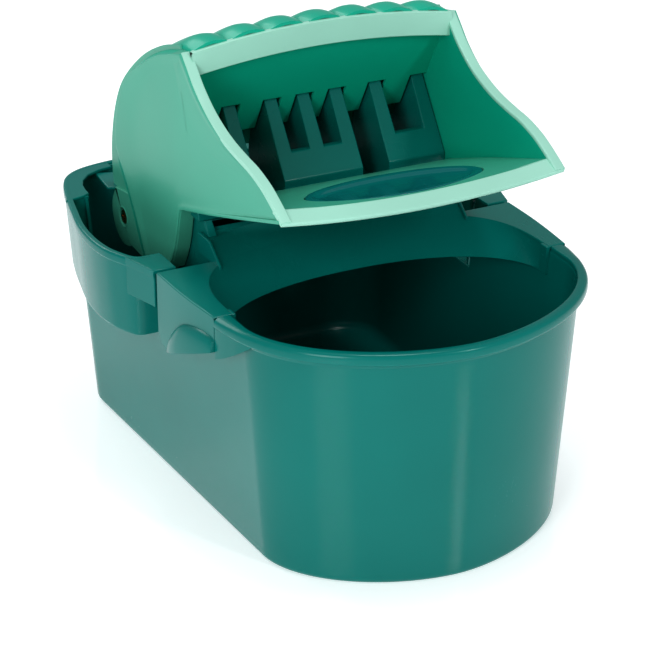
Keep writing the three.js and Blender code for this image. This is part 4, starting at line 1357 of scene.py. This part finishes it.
def grown(name, points, tree, values):
    """Runs a tree on loose points and returns the result as a plain mesh object."""
    seed = bpy.data.meshes.new(name + "_seed")
    seed.from_pydata(points, [], [])
    carrier = bpy.data.objects.new(name + "_carrier", seed)
    bpy.context.scene.collection.objects.link(carrier)
    modifier = carrier.modifiers.new("Grow", "NODES")
    modifier.node_group = tree
    sockets = {s.name: s.identifier for s in tree.interface.items_tree if s.in_out == "INPUT"}
    for label, value in values.items():
        modifier[sockets[label]] = value
    bpy.context.view_layer.update()
    evaluated = carrier.evaluated_get(bpy.context.evaluated_depsgraph_get())
    mesh = bpy.data.meshes.new_from_object(evaluated)
    bpy.data.objects.remove(carrier)
    piece = bpy.data.objects.new(name, mesh)
    bpy.context.scene.collection.objects.link(piece)
    mesh.polygons.foreach_set("use_smooth", [True] * len(mesh.polygons))
    mesh.set_sharp_from_angle(angle=math.radians(40))
    return piece


def helix_tree(material):
    """A return spring: a coil with round wire."""
    inputs = [
        ("Turns", "NodeSocketFloat", 2.25),
        ("Coil Radius", "NodeSocketFloat", 0.01),
        ("Width", "NodeSocketFloat", 0.004),
        ("Wire Radius", "NodeSocketFloat", 0.0008),
    ]
    tree, given = new_tree("Return spring", inputs)
    coil = add_node(
        tree,
        "GeometryNodeCurveSpiral",
        {"Resolution": 40},
        {
            "Rotations": (given, "Turns"),
            "Start Radius": (given, "Coil Radius"),
            "End Radius": (given, "Coil Radius"),
            "Height": (given, "Width"),
        },
    )
    radius = {"Radius": (given, "Wire Radius")}
    wire = add_node(tree, "GeometryNodeCurvePrimitiveCircle", {"Resolution": 12}, radius)
    tube = add_node(
        tree,
        "GeometryNodeCurveToMesh",
        {"Fill Caps": True},
        {"Curve": (coil, "Curve"), "Profile Curve": (wire, "Curve")},
    )
    upright = add_node(
        tree,
        "GeometryNodeTransform",
        {"Rotation": (0.0, math.pi / 2, 0.0)},
        {"Geometry": (tube, "Mesh")},
    )
    end_tree(tree, given, upright, material)
    return tree


def screw_tree(material):
    """Pan-head screws: a shank and a domed head at every point, head down."""
    inputs = [
        ("Head Radius", "NodeSocketFloat", 0.0036),
        ("Head Height", "NodeSocketFloat", 0.0022),
        ("Shank Radius", "NodeSocketFloat", 0.00175),
        ("Shank Length", "NodeSocketFloat", 0.019),
    ]
    tree, given = new_tree("Comb screws", inputs)
    head = add_node(
        tree,
        "GeometryNodeMeshUVSphere",
        {"Segments": 24, "Rings": 12},
        {"Radius": (given, "Head Radius")},
    )
    share = {0: (given, "Head Height"), 1: (given, "Head Radius")}
    squat = add_node(tree, "ShaderNodeMath", {"operation": "DIVIDE"}, share)
    size = add_node(tree, "ShaderNodeCombineXYZ", {"X": 1.0, "Y": 1.0}, {"Z": (squat, "Value")})
    domed = add_node(
        tree, "GeometryNodeTransform", links={"Geometry": (head, "Mesh"), "Scale": (size, "Vector")}
    )
    shank = add_node(
        tree,
        "GeometryNodeMeshCylinder",
        {"Vertices": 20},
        {"Radius": (given, "Shank Radius"), "Depth": (given, "Shank Length")},
    )
    half = add_node(tree, "ShaderNodeMath", {"operation": "MULTIPLY", 1: 0.5}, {0: (given, "Shank Length")})
    up = add_node(tree, "ShaderNodeCombineXYZ", links={"Z": (half, "Value")})
    raised = add_node(
        tree, "GeometryNodeTransform", links={"Geometry": (shank, "Mesh"), "Translation": (up, "Vector")}
    )
    both = add_node(tree, "GeometryNodeJoinGeometry")
    tree.links.new(domed.outputs["Geometry"], both.inputs["Geometry"])
    tree.links.new(raised.outputs["Geometry"], both.inputs["Geometry"])
    end_tree(tree, given, both, material)
    return tree


class BUCKET_OT_fittings(bpy.types.Operator):
    """Build the return springs and comb screws, and finish the pivot's metal and the bushes"""

    bl_idname = "mop_bucket.build_fittings"
    bl_label = "Fittings"

    def execute(self, context):
        looks = finishes()
        steel, brass = looks["steel, zinc plated"], looks["brass, turned"]
        wire = context.scene.press_sizes.spring_wire
        spring = helix_tree(steel)
        for side, name in ((-1, "left"), (1, "right")):
            start = world((102.1 if side > 0 else -105.9, PIVOT_Y, PIVOT_Z))
            values = {"Turns": 2.25, "Coil Radius": 0.01, "Width": 0.0038, "Wire Radius": wire}
            piece = grown("spring_" + name, [start], spring, values)
            settle(piece, "press", ["return_spring_" + name])
        names = [n for n in frame["nodes"] if n.startswith("comb_screw_")]
        spots = []
        for node in sorted(names):
            low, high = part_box(node)
            spots.append(((low.x + high.x) / 2, (low.y + high.y) / 2, low.z + 0.0022))
        screws = grown("comb_screws", spots, screw_tree(steel), {"Shank Length": 0.019})
        settle(screws, "press", names)
        for node, obj in frame["nodes"].items():
            look = None
            if node.startswith(("pivot_screw", "pivot_insert")):
                look = brass
            elif node.startswith("pivot_washer"):
                look = steel
            elif node.startswith("pivot_bush"):
                look = looks["acetal, natural"]
            elif node == "drain_grate":
                look = looks["polypropylene, press"]
            if look:
                obj.data.materials.clear()
                obj.data.materials.append(look)
        return {"FINISHED"}


# ------------------------------------------------------------------ stage
CAMERA_PLACE = (-716.8, -1287.6, 849.4)
CAMERA_AIM = (-37.6, 39.8, 144.5)
SENSOR_WIDTH = 36.0
FLOOR_HALF = 6.0
# Lights by the name of their setting: place, aim and size, in metres.
LIGHTS = {
    "key": ((-1.5, -1.3, 0.95), (0.0, 0.0, 0.12), (0.7, 0.9)),
    "back": ((-0.5, 1.7, 1.5), (0.0, 0.1, 0.15), (1.4, 0.8)),
    "fill": ((0.7, -1.9, 1.25), (0.0, 0.0, 0.2), (0.18, 0.5)),
    "overhead": ((0.15, -0.1, 2.0), (0.0, 0.0, 0.1), (0.5, 0.5)),
}


def power_setting(name, description, default):
    """A light's power in watts."""
    return bpy.props.FloatProperty(name=name, description=description, default=default)


class StageSettings(bpy.types.PropertyGroup):
    """Lights and camera."""

    lens: bpy.props.FloatProperty(name="Lens", description="Focal length", default=123.35, unit="CAMERA")
    key: power_setting("Key", "Power of the big light at the left, in watts", 15.0)
    back: power_setting("Back", "Power of the light behind, in watts", 12.0)
    overhead: power_setting("Overhead", "Power of the overhead light, in watts", 8.0)
    fill: power_setting("Fill", "Power of the small light at the right, in watts", 8.0)
    ambient: bpy.props.FloatProperty(name="Ambient", description="Strength of the surround", default=0.36)


def area_light(name, place, aim, size, power):
    """A rectangular light that faces its aim."""
    light = bpy.data.lights.new(name, "AREA")
    light.shape = "RECTANGLE"
    light.size, light.size_y = size
    light.energy = power
    obj = bpy.data.objects.new(name, light)
    bpy.context.scene.collection.objects.link(obj)
    obj.location = place
    obj.rotation_euler = (Vector(aim) - Vector(place)).to_track_quat("-Z", "Y").to_euler()


class BUCKET_OT_stage(bpy.types.Operator):
    """Set the camera, the pale floor and the soft studio lights"""

    bl_idname = "mop_bucket.build_stage"
    bl_label = "Stage"

    def execute(self, context):
        scene = context.scene
        settings = scene.bucket_stage
        camera = bpy.data.objects.new("camera", bpy.data.cameras.new("camera"))
        scene.collection.objects.link(camera)
        camera.data.lens = settings.lens
        camera.data.sensor_width = SENSOR_WIDTH
        place = Vector(world(CAMERA_PLACE))
        aim = Vector(world(CAMERA_AIM))
        camera.location = place
        camera.rotation_euler = (aim - place).to_track_quat("-Z", "Y").to_euler()
        scene.camera = camera

        mesh = bpy.data.meshes.new("floor")
        corners = [(-1, -1), (1, -1), (1, 1), (-1, 1)]
        mesh.from_pydata([(x * FLOOR_HALF, y * FLOOR_HALF, 0) for x, y in corners], [], [(0, 1, 2, 3)])
        mesh.materials.append(studio_floor("acrylic, floor", scene.bucket_colors.floor))
        floor = bpy.data.objects.new("floor", mesh)
        scene.collection.objects.link(floor)

        world_look = bpy.data.worlds.new("surround")
        scene.world = world_look
        world_look.use_nodes = True
        background = world_look.node_tree.nodes["Background"]
        background.inputs["Color"].default_value = (1.0, 1.0, 1.0, 1.0)
        background.inputs["Strength"].default_value = settings.ambient

        for name, (place, aim, size) in LIGHTS.items():
            area_light(name, place, aim, size, getattr(settings, name))
        # a little more contrast than the plain view gives
        scene.view_settings.view_transform = "Standard"
        scene.view_settings.exposure = 0.15
        scene.view_settings.gamma = 0.85
        return {"FINISHED"}


class BUCKET_PT_panel(bpy.types.Panel):
    """Lists the builders and their settings"""

    bl_label = "Mop bucket"
    bl_idname = "BUCKET_PT_panel"
    bl_space_type = "VIEW_3D"
    bl_region_type = "UI"
    bl_category = "Mop bucket"

    def draw(self, context):
        layout = self.layout
        scene = context.scene
        for setting in SETTINGS:
            group = getattr(scene, setting)
            box = layout.box()
            for name in group.bl_rna.properties.keys():
                if name not in {"rna_type", "name"}:
                    box.prop(group, name)
        for operator in OPERATORS:
            layout.operator(operator.bl_idname)


OPERATORS = (
    BUCKET_OT_stage,
    BUCKET_OT_shell,
    BUCKET_OT_press,
    BUCKET_OT_combs,
    BUCKET_OT_hopper,
    BUCKET_OT_inlay,
    BUCKET_OT_fittings,
)
SETTINGS = {
    "bucket_sizes": BucketSizes,
    "press_sizes": PressSizes,
    "hopper_sizes": HopperSizes,
    "bucket_colors": FinishColors,
    "bucket_stage": StageSettings,
}


def register():
    for group in SETTINGS.values():
        bpy.utils.register_class(group)
    for operator in OPERATORS:
        bpy.utils.register_class(operator)
    bpy.utils.register_class(BUCKET_PT_panel)
    for name, group in SETTINGS.items():
        setattr(bpy.types.Scene, name, bpy.props.PointerProperty(type=group))


def unregister():
    for name in SETTINGS:
        delattr(bpy.types.Scene, name)
    bpy.utils.unregister_class(BUCKET_PT_panel)
    for operator in reversed(OPERATORS):
        bpy.utils.unregister_class(operator)
    for group in reversed(list(SETTINGS.values())):
        bpy.utils.unregister_class(group)


def main():
    """Builds everything."""
    register()
    bpy.ops.mop_bucket.build_stage()
    bpy.ops.mop_bucket.build_shell()
    bpy.ops.mop_bucket.build_press()
    bpy.ops.mop_bucket.build_combs()
    bpy.ops.mop_bucket.build_hopper()
    bpy.ops.mop_bucket.build_inlay()
    bpy.ops.mop_bucket.build_fittings()


if __name__ == "__main__":
    main()
